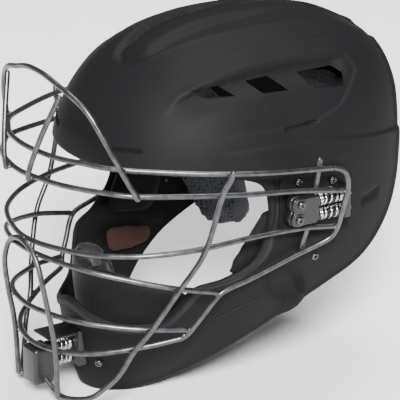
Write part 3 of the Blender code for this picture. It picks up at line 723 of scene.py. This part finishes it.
# %% Paths of the wires
WIRE = 4.2          # thickness
BEND = 9.0          # length that a bend is spread over each way, halved for the side wires
BARS = {
    "brow_bar_upper": [(0, -165, 44), (15, -164, 44), (35, -159.5, 43.5), (55, -149, 43),
                       (68, -141, 42.2), (83, -125, 41), (109, -84.5, 38.3),
                       (121.6, -56.7, 36.5), (128, -26, 33.5), (127.4, 24, 27)],
    "brow_bar_lower": [(0, -171.5, 26), (20, -168.4, 25.7), (44.7, -160.8, 25.2),
                       (70, -144, 24), (91, -120.6, 22.3), (115.3, -52.2, 17.3),
                       (122, -2.6, 12.4), (125.8, 34.3, 6.7)],
    "eye_bar": [(0, -168, -27.8), (28, -163, -27.5), (60, -149.5, -26.8), (82, -129, -25.8),
                (95.4, -107.3, -24.6), (105.4, -77.5, -23), (110.8, -35.2, -20.8),
                (117, 3, -20), (121, 30, -22.6)],
    "mouth_bar_upper": [(0, -169, -36), (32, -163.5, -37), (60, -150, -40), (78, -130, -45),
                        (90, -112, -49.5), (98, -95, -53.6), (104.2, -65.4, -61)],
    "mouth_bar_middle": [(0, -167.3, -82.3), (20, -164.5, -82.4), (40, -157.5, -83),
                         (56, -146, -84.4), (70, -129, -86.5), (82, -110, -88.3),
                         (91.7, -83.9, -91)],
    "mouth_bar_lower": [(0, -163, -114.4), (15, -161.3, -114.2), (32, -155.6, -113.2),
                        (46, -147, -111.6), (60, -132, -109), (77, -107, -103.5),
                        (87.2, -85.5, -99)],
    "face_loop": [(0, -160, -140.5), (9, -159, -142), (18, -156.5, -149), (27, -155, -152),
                  (40, -150, -150.5), (50, -143, -147.5), (58, -137, -139),
                  (68, -129.5, -126), (75, -120.5, -106), (86.2, -113, -88.5),
                  (102.6, -97.6, -53), (110, -79.6, -24), (115.4, -68, 19),
                  (123.6, -65.4, 34), (124.6, -64.6, 39.5)],
    "chin_hoop": [(0, -173, -27.5), (9.4, -172.9, -29.2), (19, -172, -36), (23.7, -171.5, -44),
                  (27.5, -171, -55.6), (29.4, -167, -80), (29.7, -163.5, -97),
                  (29.4, -161.4, -116), (29.2, -160, -149.5)],
    "crown_hoop": [(0, -158, 103.5), (14, -157, 102), (31, -155, 97), (46, -153.5, 93),
                   (60, -148.5, 83), (71, -143, 66), (82.2, -134.4, 42), (92.2, -127, 22)],
}
SIDE_WIRES = {
    "hoop_post": [(37, -159.2, 91), (27, -168, 62), (19, -174, 36), (16, -174.4, 25)],
    "side_frame": [(127.5, 25.2, 26.8), (128.4, 33, 23.5), (128.6, 36.6, 16), (127.6, 37.4, 6),
                   (124.6, 35, -10), (122, 33, -23), (120, 28.5, -31), (117, 19, -36),
                   (113, -2, -43), (108.5, -35, -54), (105.4, -59, -60.5),
                   (103, -66.5, -67.5), (98, -73, -79), (92.8, -80.4, -91.5), (89.6, -82, -95.8)],
    "upright": [(123, 14.5, 34), (122.6, 14.4, 28), (119.0, 13.8, 9.5), (116.8, 12.8, -8),
                (113.6, 11.2, -21), (110.6, 8.2, -36), (110.1, 7.6, -42)],
}
FLIP = np.array([-1.0, 1.0, 1.0])
wire_paths = {}
for name, half in BARS.items():
    half = np.array(half, float)
    wire_paths[name] = even_path(np.vstack([half[:0:-1] * FLIP, half]), 1.8, soften=BEND)
for name, points in SIDE_WIRES.items():
    for label, side in SIDES:
        wire_paths[f"{name}_{label}"] = even_path(on_side(points, side), 1.6, soften=BEND / 2)

# %% Wires and welds
for name, path in wire_paths.items():
    put(name + "_wire", grid_mesh(name, tube_grid(path, WIRE / 2, path, 18)), cage_metal,
        "cage", [name])


def ball_grid(rows=9, columns=14):
    """Points of a ball of radius one, ring by ring, without its poles."""
    tilt = np.linspace(0, np.pi, rows + 2)[1:-1][:, None, None]
    turn = np.linspace(0, 2 * np.pi, columns, endpoint=False)[None, :, None]
    return np.concatenate([np.sin(tilt) * np.cos(turn), np.sin(tilt) * np.sin(turn),
                           np.cos(tilt) + 0 * turn], axis=2)


def weld_places(first, second, reach=6.2):
    """On each side of the middle plane, where two paths come closest, if within reach."""
    apart = np.linalg.norm(first[:, None] - second[None], axis=2)
    found = []
    for keep in (first[:, 0] >= 0, first[:, 0] < 0):
        part = np.where(keep[:, None], apart, 1e9)
        i, j = np.unravel_index(part.argmin(), part.shape)
        if part[i, j] < reach:
            found.append((first[i], second[j], np.gradient(first, axis=0)[i]))
    return found


def weld_mesh(a, b, along):
    """A ball stretched across the gap and a little along the first wire."""
    across = unit(b - a)
    along = unit(along - (along @ across) * across)
    axes = np.stack([along * 2.7, np.cross(across, along) * 1.75, across * (np.linalg.norm(b - a) / 2)])
    return grid_mesh("weld", ball_grid() @ axes + (a + b) / 2)


names = list(wire_paths)
welds = [weld_mesh(*place) for i, one in enumerate(names) for two in names[i + 1:]
         for place in weld_places(wire_paths[one], wire_paths[two])]
put("cage_welds", joined("cage_welds", welds), cage_metal, "cage")
print("wires:", len(wire_paths), "welds:", len(welds))

# %% [markdown]
# ## Coil springs
#
# A compression spring is a helix whose last turn at each end lies flat, so that it pushes
# squarely. One end sits on the shell and the other on the cage; here each spring is made once
# between the two and rides on neither body.

# %% Springs
SPRING_OUT = 115.2      # x of the temple springs
TEMPLE_LEVELS = {"upper": -0.5, "lower": -12.2}
CHIN_LEVELS = {"upper": -121.6, "lower": -132.2}


def spring_mesh(x, z, y0, y1, radius, gauge, turns=6.2):
    """Helix about Y: the angle grows evenly, and the rise is share - 0.11 sin(2 pi share) of
    the length, which is slow over the end turns."""
    turn = np.linspace(0, 2 * np.pi * turns, int(turns * 26))
    share = turn / turn[-1]
    slow = share - 0.11 * np.sin(2 * np.pi * share)
    rise = y0 + gauge / 2 + (y1 - y0 - gauge) * slow
    arm = np.stack([np.cos(turn), np.zeros_like(turn), np.sin(turn)], axis=1)
    path = np.stack([x + radius * arm[:, 0], rise, z + radius * arm[:, 2]], axis=1)
    return grid_mesh("spring", tube_grid(path, gauge / 2, arm, 10))


def spring(name, node, x, z, y_cage, y_shell, radius, gauge):
    """A spring from the cage to the shell, in place of the CAD spring."""
    low, high = sorted((y_cage, y_shell))
    made = put(name, spring_mesh(x, z, low, high, radius, gauge), spring_metal, None, [node])
    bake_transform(made)


for label, side in SIDES:
    for level, z in TEMPLE_LEVELS.items():
        spring(f"coil_{label}_{level}", f"spring_{label}_{level}", side * SPRING_OUT, z, 18.3, 40.4, 4.5,
               1.75)
for level, z in CHIN_LEVELS.items():
    spring(f"chin_coil_{level}", f"chin_spring_{level}", 0.0, z, -149.5, -131.4, 4.2, 1.6)

# %% [markdown]
# ## Blocks, plates and screws
#
# Moulded blocks have rounded edges. A box grown by a ball has exactly that shape: each point is
# a corner of a smaller box plus the ball's radius along its normal. Plates are an outline with
# a rounded edge, and a screw is a turned profile with a hexagonal socket.

# %% Block, plate and screw shapes
def block_mesh(low, high, radius):
    """Corner of the box shrunk by the radius, plus radius times the normal, over all normals."""
    low, high = np.array(low, float), np.array(high, float)
    ball = ball_grid(12, 24)
    turn = np.pi / 24
    normal = ball @ np.array([[np.cos(turn), np.sin(turn), 0], [-np.sin(turn), np.cos(turn), 0], [0, 0, 1]])
    half = (high - low) / 2 - radius
    return grid_mesh("block", (low + high) / 2 + np.sign(normal) * half + normal * radius)


def plate_mesh(outline, axis, low, high, bevel):
    """The outline moved in along its own normals as a quarter circle rounds each edge."""
    outline = np.array(outline, float)
    slope = unit(np.roll(outline, -1, axis=0) - np.roll(outline, 1, axis=0))
    area = (outline[:, 0] * np.roll(outline[:, 1], -1) - outline[:, 1] * np.roll(outline[:, 0], -1)).sum()
    inward = np.stack([-slope[:, 1], slope[:, 0]], axis=1) * np.sign(area)
    turn = np.linspace(0, np.pi / 2, 5)
    step = np.concatenate([1 - np.sin(turn), (1 - np.sin(turn))[::-1]]) * bevel
    level = np.concatenate([low + (1 - np.cos(turn)) * bevel, (high - (1 - np.cos(turn)) * bevel)[::-1]])
    rows = outline[None] + inward[None] * step[:, None, None]
    return grid_mesh("plate", np.insert(rows, axis, np.broadcast_to(level[:, None], rows.shape[:2]), axis=2))


def turned_grid(profile, place, direction, factor=None, sides=24):
    """A profile of (radius, height) turned about a direction. factor scales the radius with
    the angle, row by row, which makes a hexagon of a circle."""
    profile = np.array(profile, float)
    direction = unit(np.array(direction, float))
    helper = np.array([0, 0, 1.0]) if abs(direction[2]) < 0.9 else np.array([0, 1.0, 0])
    first = unit(np.cross(helper, direction))
    second = np.cross(direction, first)
    turn = np.linspace(0, 2 * np.pi, sides, endpoint=False)
    scale = np.ones((len(profile), sides)) if factor is None else factor(turn)
    radius = profile[:, :1] * scale
    arm = np.cos(turn)[:, None] * first + np.sin(turn)[:, None] * second
    return np.array(place) + radius[..., None] * arm + profile[:, 1][:, None, None] * direction


def turned_pieces(profile, places, direction):
    """The same turned shape at each place."""
    return [grid_mesh("turned", turned_grid(profile, place, direction)) for place in places]


SOCKET = [(0.5, 0.55), (1.25, 0.5), (1.5, 0.6), (1.55, 1.8)]
HEAD = [(1.75, 1.95), (2.2, 1.9), (2.6, 1.7), (2.95, 1.3), (3.2, 0.7), (3.25, 0.15), (3.1, 0.0)]


def hexagon(turn):
    """Socket rows follow a hexagon, whose radius at an angle is cos 30 / cos of the angle from
    the nearest flat's middle; head rows stay round."""
    flat = np.cos(np.pi / 6) / np.cos((turn + np.pi / 6) % (np.pi / 3) - np.pi / 6)
    return np.vstack([np.repeat(flat[None], len(SOCKET), 0), np.ones((len(HEAD) + 2, len(turn)))])


def screw(name, place, direction, shank, body):
    """A pan-head screw whose head stands on place."""
    profile = SOCKET + HEAD + [(1.6, -0.1), (1.6, -shank)]
    put(name + "_fine", grid_mesh(name, turned_grid(profile, place, direction, hexagon)), screw_metal,
        body, [name], 40)


# %% [markdown]
# ## Temple suspension
#
# Each temple has a carriage that grips the cage's upright under a two-lobed cap, with one screw
# in each lobe. Two plungers run from the carriage into a stop block, and the springs sit on
# them. The stop block is part of a thin housing that is screwed to the shell.

# %% Carriage, cap and housing
LOBES = [(-9, 1.2), (-7.5, 6), (-2, 7.2), (5, 6.4), (16.5, 6), (17.4, 2), (16.6, -8), (15.4, -16.2),
         (10, -17), (3, -17), (-3, -17.4), (-8.6, -16), (-10, -11), (-8.4, -6.2), (-7.4, -4.8), (-8.4, -2.8)]


def smooth_ring(knots, count=72):
    """A closed curve through the knots."""
    knots = np.array(knots, float)
    ring = np.vstack([knots, knots[:1]])
    return through(ring, np.linspace(0, len(knots), count, endpoint=False), (knots[-1], knots[1]))


PLUNGER = [(2.0, 0), (2.4, 0.5), (2.4, 31), (1.9, 33)]
SLEEVE = [(3.0, 0), (5.4, 0.0), (5.6, 0.4), (5.6, 1.4), (5.2, 1.7), (3.0, 1.7)]
BOSS = [(3.6, -0.6), (5.2, -0.6), (5.2, 0.1), (4.7, 0.5), (3.6, 0.5)]
SEAT = [(2.8, 0), (5.3, 0), (5.6, 0.4), (5.6, 1.2), (2.8, 1.2)]
CAP_SCREWS = {"upper": (-1.0, 1.0), "lower": (-2.5, -11.0)}
HOUSING_SCREWS = {"front": (5.0, 14.0), "rear": (36.5, 9.5)}


def spring_places(side, y):
    """Where the two springs' axes pass a level of y, on one side."""
    return [(side * SPRING_OUT, y, z) for z in TEMPLE_LEVELS.values()]


def carriage(label, side):
    """The block that slides with the cage, with a plunger and a sleeve for each spring."""
    ring = smooth_ring(LOBES) * 0.94 + [0.2, -0.3]
    low, high = sorted((side * 110.4, side * 118.2))
    pieces = [plate_mesh(ring, 0, low, high, 1.3)]
    pieces += turned_pieces(PLUNGER, spring_places(side, 16.6), (0, 1, 0))
    pieces += turned_pieces(SLEEVE, spring_places(side, 16.4), (0, 1, 0))
    put(f"carriage_{label}_fine", joined("carriage", pieces), fitting_plastic, "cage",
        [f"carriage_{label}"], 50)


def clamp_cap(label, side):
    """The cap over the upright, with a boss round each of its two screws."""
    ring = smooth_ring(LOBES) * 0.93 + [0.2, -0.3]
    low, high = sorted((side * 118.7, side * 122.0))
    pieces = [plate_mesh(ring, 0, low, high, 1.1)]
    pieces += turned_pieces(BOSS, [(side * 121.9, y, z) for y, z in CAP_SCREWS.values()], (side, 0, 0))
    put(f"clamp_cap_{label}_fine", joined("cap", pieces), fitting_plastic, "cage",
        [f"clamp_cap_{label}"], 50)
    for level, (y, z) in CAP_SCREWS.items():
        screw(f"carriage_screw_{label}_{level}", (side * 122.35, y, z), (side, 0, 0), 8, "cage")


def temple_housing(label, side):
    """The plate on the shell, and on it the block that the springs push against."""
    base = rounded_outline([(-12, -27), (50, -27), (50, 19), (-12, 19)], 6.0, 8)
    low, high = sorted((side * 108.3, side * 109.8))
    put(f"side_housing_{label}_plate", plate_mesh(base, 0, low, high, 0.6), shell_plastic,
        "shell", [f"side_housing_{label}"], 50)
    low, high = sorted((side * 109.3, side * 119.6))
    pieces = [block_mesh((low, 41.2, -19), (high, 47.3, 6.2), 1.4)]
    low, high = sorted((side * 109.3, side * 110.4))
    pieces.append(block_mesh((low, 18.5, -19), (high, 43, 6.2), 0.5))
    pieces += turned_pieces(SEAT, spring_places(side, 40.2), (0, 1, 0))
    put(f"spring_stop_{label}", joined("stop", pieces), fitting_plastic, "shell",
        [f"side_housing_{label}"], 50)
    for end, (y, z) in HOUSING_SCREWS.items():
        screw(f"housing_screw_{label}_{end}", (side * 110.0, y, z), (side, 0, 0), 9, "shell")


for label, side in SIDES:
    carriage(label, side)
    clamp_cap(label, side)
    temple_housing(label, side)

# %% [markdown]
# ## Chin suspension
#
# The chin works the other way round: a housing screwed into the shell's chin carries two pins,
# and a clamp on the cage slides on them. A flat roof keeps dirt off the springs.

# %% Chin clamp, housing and screws
CHIN_BOSS = [(3.2, 0), (5.4, 0), (5.6, 0.5), (5.6, 1.4), (3.2, 1.4)]
PIN = [(1.8, 0), (2.4, 0.6), (2.4, 28)]
clamp = [block_mesh((-10, -168, -147), (10, -150, -117.2), 3.0)]
clamp += turned_pieces(CHIN_BOSS, [(0, -151.2, z) for z in CHIN_LEVELS.values()], (0, 1, 0))
put("chin_clamp_fine", joined("chin_clamp", clamp), fitting_plastic, "cage",
    ["chin_clamp"], 50)
housing = [block_mesh((-12.6, -130.6, -138), (12.6, -116, -108.9), 1.4),
           block_mesh((-12.2, -156, -111.4), (12.2, -128, -109.2), 0.9)]
housing += turned_pieces(PIN, [(0, -158.6, z) for z in CHIN_LEVELS.values()], (0, 1, 0))
put("chin_housing_fine", joined("chin_housing", housing), fitting_plastic, "shell",
    ["chin_housing"], 50)
SHELL_SCREWS = {"jaw_screw_left": (103, 24, -50), "jaw_screw_right": (-103, 24, -50),
                "chin_screw_top": (0, -128, -103), "chin_screw_left": (23, -120, -135),
                "chin_screw_right": (-23, -120, -135)}
for name, ray in SHELL_SCREWS.items():
    seat = on_form(np.array(ray, float))
    normal = normals_of(seat)
    screw(name, seat + normal * 0.9, normal, 6, "shell")

# %% [markdown]
# ## Padding
#
# Most pads are foam in a fabric cover, and the two on the jaw under the cheeks are bare foam.
# A pad starts as a patch between four corner rays, with a thickness that falls to its border.
# It follows the inside of the shell, or a form of its own at the sides and the back. A voxel
# remesh gives it even cells, a short cloth run with a little air pressure swells it as a stuffed
# cover does, and one subdivision smooths it. Seams are pressed in afterwards.

# %% Pad shapes
def patch_rays(corners, u, v):
    """Rays between four corner rays, blended along u and v."""
    a, b, c, d = unit(np.array(corners, float))
    return (1 - v) * ((1 - u) * a + u * b) + v * ((1 - u) * d + u * c)


def rounded_square(reach, count, power):
    """u and v from 0 to 1 on rings about the middle of a square. On a ring, the powers of
    |2u - 1| and |2v - 1| add up to the power of its reach, so a higher power gives sharper
    corners."""
    turn = np.linspace(0, 2 * np.pi, count, endpoint=False)
    stretch = (np.abs(np.cos(turn)) ** power + np.abs(np.sin(turn)) ** power) ** (-1 / power)
    u = 0.5 + 0.5 * reach[:, None] * np.cos(turn) * stretch
    v = 0.5 + 0.5 * reach[:, None] * np.sin(turn) * stretch
    return u[..., None], v[..., None]


def pad_grid(corners, top, thickness, test=outside, size=(30, 30), power=3.8 / 0.84):
    """Going once round the pad's section: out over the face next to the shell and back over
    the face next to the head. The thickness is the square root of one less the fourth power
    of the way to the border."""
    reach = np.linspace(0.02, 1.0, size[0])
    surface = on_form(patch_rays(corners, *rounded_square(reach, 4 * size[1], power)), test)
    inward = -unit(surface)
    crown = (1 - reach ** 4) ** 0.5
    half = (thickness / 2 * crown)[:, None, None]
    middle = surface + inward * (top + thickness / 2)
    return np.concatenate([(middle - inward * half), (middle + inward * half)[-2::-1]])


def swell(piece, pressure=4.0, cap_mm=3.0, voxel_mm=4.0, steps=20):
    """Even cells, then cloth with pressure and no gravity. A point that has moved further than
    the cap is brought back to it. Ends with one subdivision."""
    remesh = piece.modifiers.new("cells", "REMESH")
    remesh.mode, remesh.voxel_size = "VOXEL", voxel_mm * MM
    bake(piece)
    rest = points_of(piece.data)
    cloth = piece.modifiers.new("cloth", "CLOTH")
    cloth.settings.use_pressure = True
    cloth.settings.uniform_pressure_force = pressure
    cloth.settings.quality = 6
    cloth.settings.mass = 0.3
    cloth.settings.effector_weights.gravity = 0.0
    cloth.collision_settings.use_collision = False
    cloth.point_cache.frame_start, cloth.point_cache.frame_end = 1, steps
    for step in range(1, steps + 1):
        bpy.context.scene.frame_set(step)
    bake(piece)
    bpy.context.scene.frame_set(1)
    moved = points_of(piece.data)
    travel = moved - rest
    far = np.linalg.norm(travel, axis=1, keepdims=True)
    moved = rest + travel * np.minimum(1, cap_mm * MM / np.maximum(far, 1e-9))
    set_points(piece.data, moved)
    smooth = piece.modifiers.new("fine", "SUBSURF")
    smooth.levels = smooth.render_levels = 1
    bake(piece)


def bake(piece):
    """Puts the evaluated mesh in place of the piece's own, and drops its modifiers."""
    bpy.context.view_layer.update()
    mesh = bpy.data.meshes.new_from_object(piece.evaluated_get(bpy.context.evaluated_depsgraph_get()))
    piece.modifiers.clear()
    piece.data = mesh


def points_of(mesh):
    """All points of a mesh as rows of x, y and z, in metres."""
    flat = np.zeros(len(mesh.vertices) * 3, np.float32)
    mesh.vertices.foreach_get("co", flat)
    return flat.reshape(-1, 3).astype(float)


def set_points(mesh, points):
    """Moves all points of a mesh."""
    mesh.vertices.foreach_set("co", points.astype(np.float32).ravel())
    mesh.update()


def press_seams(piece, lines, half_width, depth):
    """Moves points away from the head's middle where they lie within half_width of a seam. A
    seam is a plane given by a normal and its distance from the origin, in millimetres."""
    points = points_of(piece.data) / MM
    outward = unit(points)
    normals = np.zeros(len(points) * 3, np.float32)
    piece.data.vertices.foreach_get("normal", normals)
    facing_head = ease(-(normals.reshape(-1, 3) * outward).sum(1) * 2)
    press = np.zeros(len(points))
    for normal, level in lines:
        apart = np.abs(points @ unit(np.array(normal, float)) - level)
        press = np.maximum(press, np.exp(-(apart / half_width) ** 2))
    set_points(piece.data, (points + outward * (press * depth * facing_head)[:, None]) * MM)


SEAM_HALF_WIDTH, SEAM_DEPTH = 2.4, 2.6


def pad(name, node, grid, material, body="shell", seams=(), cap_mm=2.5, voxel_mm=4.0):
    """A swollen pad with its seams pressed in."""
    made = put(name, grid_mesh(name, grid), material, None)
    swell(made, cap_mm=cap_mm, voxel_mm=voxel_mm)
    if len(seams):
        press_seams(made, seams, SEAM_HALF_WIDTH, SEAM_DEPTH)
    made.data.shade_smooth()
    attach(made, body)
    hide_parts(node)


# %% Brow, crown, temple and cheek pads
def side_form(point):
    """Superellipse sum for the side pads, 97 mm to the side and 120 mm to front and back. They
    hang clear of the shell, in towards the neck."""
    x, y, z = point[..., 0], point[..., 1], point[..., 2]
    width = 97.0 * (1 - np.minimum(np.maximum(-z, 0) / 178, 0.99) ** 2)
    rise = np.maximum(z, 0) / 130
    return (np.abs(x) / width) ** 2.4 + (np.abs(y) / 120) ** 2.4 + rise ** 2.4 - 1


FOREHEAD = [(-66, -98, 20), (66, -98, 20), (46, -92, 82), (-46, -92, 82)]
CROWN = [(-48, -42, 100), (48, -42, 100), (48, 64, 100), (-48, 64, 100)]
pad("forehead_padding", "forehead_pad", pad_grid(FOREHEAD, WALL + 1.5, 13.5), spacer_mesh,
    seams=[((1, 0, 0), 22), ((1, 0, 0), -22)])
pad("crown_padding", "crown_pad", pad_grid(CROWN, WALL + 8.5, 6.5), spacer_mesh,
    seams=[((0, 1, 0), 8), ((1, 0, 0), 0)], cap_mm=0.8)
for label, side in SIDES:
    temple = on_side([(100, -6, 46), (98, 76, 42), (50, 80, -80), (66, 38, -84)], side)
    pad(f"side_padding_{label}", f"side_pad_{label}", pad_grid(temple, 0.6, 11, side_form), spacer_mesh,
        seams=[((0, 0.25, 1), -18)])
    cheek = on_side([(104, -12, -2), (105, 18, -46), (99, 2, -78), (88, -50, -62)], side)
    pad(f"cheek_padding_{label}", f"cheek_pad_{label}", pad_grid(cheek, WALL + 5, 13), black_knit)
    foam = on_side([(88, -48, -74), (99, 0, -90), (92, -4, -103), (80, -50, -97)], side)
    pad(f"cheek_foam_{label}_cut", f"cheek_foam_{label}", pad_grid(foam, WALL + 2.5, 9.5), raw_foam,
        cap_mm=1.0, voxel_mm=3.0)

# %% [markdown]
# ## Chin cup
#
# The chin pad is the largest one: a thick sewn cup that stands well above the rim and wraps
# round the jaw. It is made like the others from a wrapped section.

# %% Chin pad
def chin_grid(rows=26, columns=90):
    """A band round the chin: angle from -50 to 50 degrees, level from above the rim to the
    jaw's edge, on the shell's plan ellipse less the wall, with a rounded thick section."""
    widest = np.radians(50)
    turn = np.radians(np.linspace(-50, 50, columns))[:, None]
    bulge = np.sqrt(np.maximum(1 - (np.abs(turn) / np.radians(50.5)) ** 8, 0.0))
    around = np.linspace(0, 2 * np.pi, rows * 2, endpoint=False)[None, :]
    low = -145.0 + 36 * (turn / widest) ** 2
    high = -62.0 - 16 * (turn / widest) ** 4
    middle, half = (high + low) / 2, (high - low) / 2 * (0.25 + 0.75 * bulge)
    level = middle + half * np.sign(np.sin(around)) * np.abs(np.sin(around)) ** 0.6
    depth = 7.2 * bulge * np.sign(np.cos(around)) * np.abs(np.cos(around)) ** 0.6
    below = -np.clip(level, -165, -1)
    width = HALF_WIDTH * (1 - (below / 195) ** 2.5)
    reach = FRONT_REACH * 1.03 * (1 - (below / 260) ** 5)
    radius = 1 / np.sqrt((np.sin(turn) / width) ** 2 + (np.cos(turn) / reach) ** 2) - WALL - 18.2 + depth
    return np.stack([np.sin(turn) * radius, -np.cos(turn) * radius, level], axis=2)


pad("chin_padding", "chin_pad", chin_grid(), black_knit, voxel_mm=3.5,
    seams=[((0, 0, 1), -84), ((1, 0.6, 0), -58), ((-1, 0.6, 0), -58)])

# %% [markdown]
# ## Back plate and straps
#
# The plate at the back of the head is a thin curved moulding, held to the shell by one elastic
# strap at the top and one at each side. In the mask the straps stretch when the plate moves;
# here each strap is made once as it lies and rides on neither body.

# %% Back plate
def plate_form(point):
    """Superellipse sum for the back plate: |x|/98 and |y|/131 to the power 2.4, with a rise."""
    x, y, z = point[..., 0], point[..., 1], point[..., 2]
    rise = np.where(z > 0, np.abs(z) / 132, np.abs(z) / 190)
    return (np.abs(x) / 98) ** 2.4 + (np.abs(y) / 131) ** 2.4 + rise ** 2.2 - 1


PLATE = [(-74, 96, 66), (74, 96, 66), (62, 108, -78), (-62, 108, -78)]
PLATE_WALL = 3.0


def plate_grid():
    """The plate's outer face, sunk outside a raised field and grooved with three chevrons, and
    then its inner face. The last two rings of each face turn the edge in."""
    flat_rings = np.linspace(0.02, 0.985, 60)
    reach = np.concatenate([flat_rings, [0.996, 1.0]])
    surface = on_form(patch_rays(PLATE, *rounded_square(reach, 240, 7)), plate_form)
    normal = normals_of(surface, plate_form)
    x, y, z = (surface[..., k] for k in range(3))
    ribs = -1.1 * (1 - inside_of(x, z, [(-44, 44), (44, 44), (34, -58), (-34, -58)], 5.0))
    for level in (22, 0, -22):
        ribs = ribs + groove(x, z, [(-26, level - 3), (0, level), (26, level - 3)], 1.7, 1.5)
    face = surface + normal * (ribs * (y > 0))[..., None]
    edge_in = np.array([0.0] * len(flat_rings) + [0.35, 1.1])[:, None, None]
    return np.concatenate([face - normal * edge_in, (surface - normal * (PLATE_WALL - edge_in))[::-1]])


put("rear_plate_moulding", grid_mesh("rear_plate", plate_grid()), shell_plastic, "rear",
    ["back_plate"], 40)
INNER_PLATE = [(-54, 106, 54), (54, 106, 54), (46, 112, -66), (-46, 112, -66)]
pad("back_padding", "back_pad", pad_grid(INNER_PLATE, 4.6, 12, plate_form), spacer_mesh,
    body="rear", seams=[((0, 0, 1), 16), ((0, 0, 1), -28)])

# %% Elastic straps
def strap_mesh(path, across, thickness=1.6):
    """A flat band: at each place on the path a rounded section, wide across and thin through."""
    path = even_path(path, 1.0)
    along = unit(np.gradient(path, axis=0))
    wide = unit(np.array(across, float))
    through_it = np.cross(along, wide)
    turn = np.linspace(0, 2 * np.pi, 28, endpoint=False)
    flat = np.sign(np.cos(turn)) * np.abs(np.cos(turn)) ** 0.25
    thin = np.sign(np.sin(turn)) * np.abs(np.sin(turn)) ** 0.6
    half = np.linalg.norm(across) / 2
    return grid_mesh("strap", path[:, None] + half * flat[:, None] * wide
                     + thickness / 2 * thin[:, None] * through_it[:, None])


def strap(name, node, path, across):
    """A strap from the shell to the back plate, in place of the CAD strap."""
    made = put(name, strap_mesh(path, across), elastic_web, None, [node])
    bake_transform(made)


for label, side in SIDES:
    path = on_side([(88.3, 90, -18), (84, 99.6, -18), (79, 106.2, -18)], side)
    strap(f"elastic_{label}", f"strap_{label}", path, (0, 0, 19))
strap("elastic_top", "strap_top", np.array([(0, 110, 87.2), (0, 121.6, 76), (0, 127, 66)]), (22, 0, 0))

# %% Backing plates keep their CAD shape and take the fitting plastic
for label, _ in SIDES:
    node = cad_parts[f"backing_plate_{label}"]
    node.data.materials.clear()
    node.data.materials.append(fitting_plastic)

# %% [markdown]
# ## Floor and light
#
# The key light comes from the camera's side, so most of the mask's shadow falls behind it. A
# panel overhead lights the crown. The world is dim, so that the inside of the shell stays dark.

# %% Floor
floor_z = cad_box[0][2]
floor_mesh = bpy.data.meshes.new("floor")
SPAN = 6.0
floor_mesh.from_pydata([(-SPAN, -SPAN, floor_z), (SPAN, -SPAN, floor_z), (SPAN, SPAN, floor_z),
                        (-SPAN, SPAN, floor_z)], [], [(0, 1, 2, 3)])
floor = bpy.data.objects.new("floor", floor_mesh)
bpy.context.scene.collection.objects.link(floor)
pale, tree, shader, place = finish_of("matte_white_backdrop_paper", Roughness=0.9)
shader.inputs["Base Color"].default_value = linear("fafafa")
floor_mesh.materials.append(pale)

# %% Lights
def soft_light(name, place, power, size=0, spread=0, aim=(0, -0.03, -0.02)):
    """A light turned towards the mask: a square panel where it has a size in metres, and
    otherwise even parallel light with a spread in degrees."""
    data = bpy.data.lights.new(name, "AREA" if size else "SUN")
    data.energy = power
    if size:
        data.shape, data.size = "SQUARE", size
    else:
        data.angle = np.radians(spread)
    light = bpy.data.objects.new(name, data)
    light.location = place
    light.rotation_euler = (Vector(place) - Vector(aim)).to_track_quat("Z", "Y").to_euler()
    bpy.context.scene.collection.objects.link(light)


soft_light("key", (1.55, -1.05, 1.25), 10.5, spread=16)
soft_light("overhead", (-0.1, 0.25, 1.6), 26, size=0.9)
world = bpy.data.worlds.new("studio")
world.use_nodes = True
world.node_tree.nodes["Background"].inputs["Color"].default_value = linear("ffffff")
world.node_tree.nodes["Background"].inputs["Strength"].default_value = 0.2
bpy.context.scene.world = world
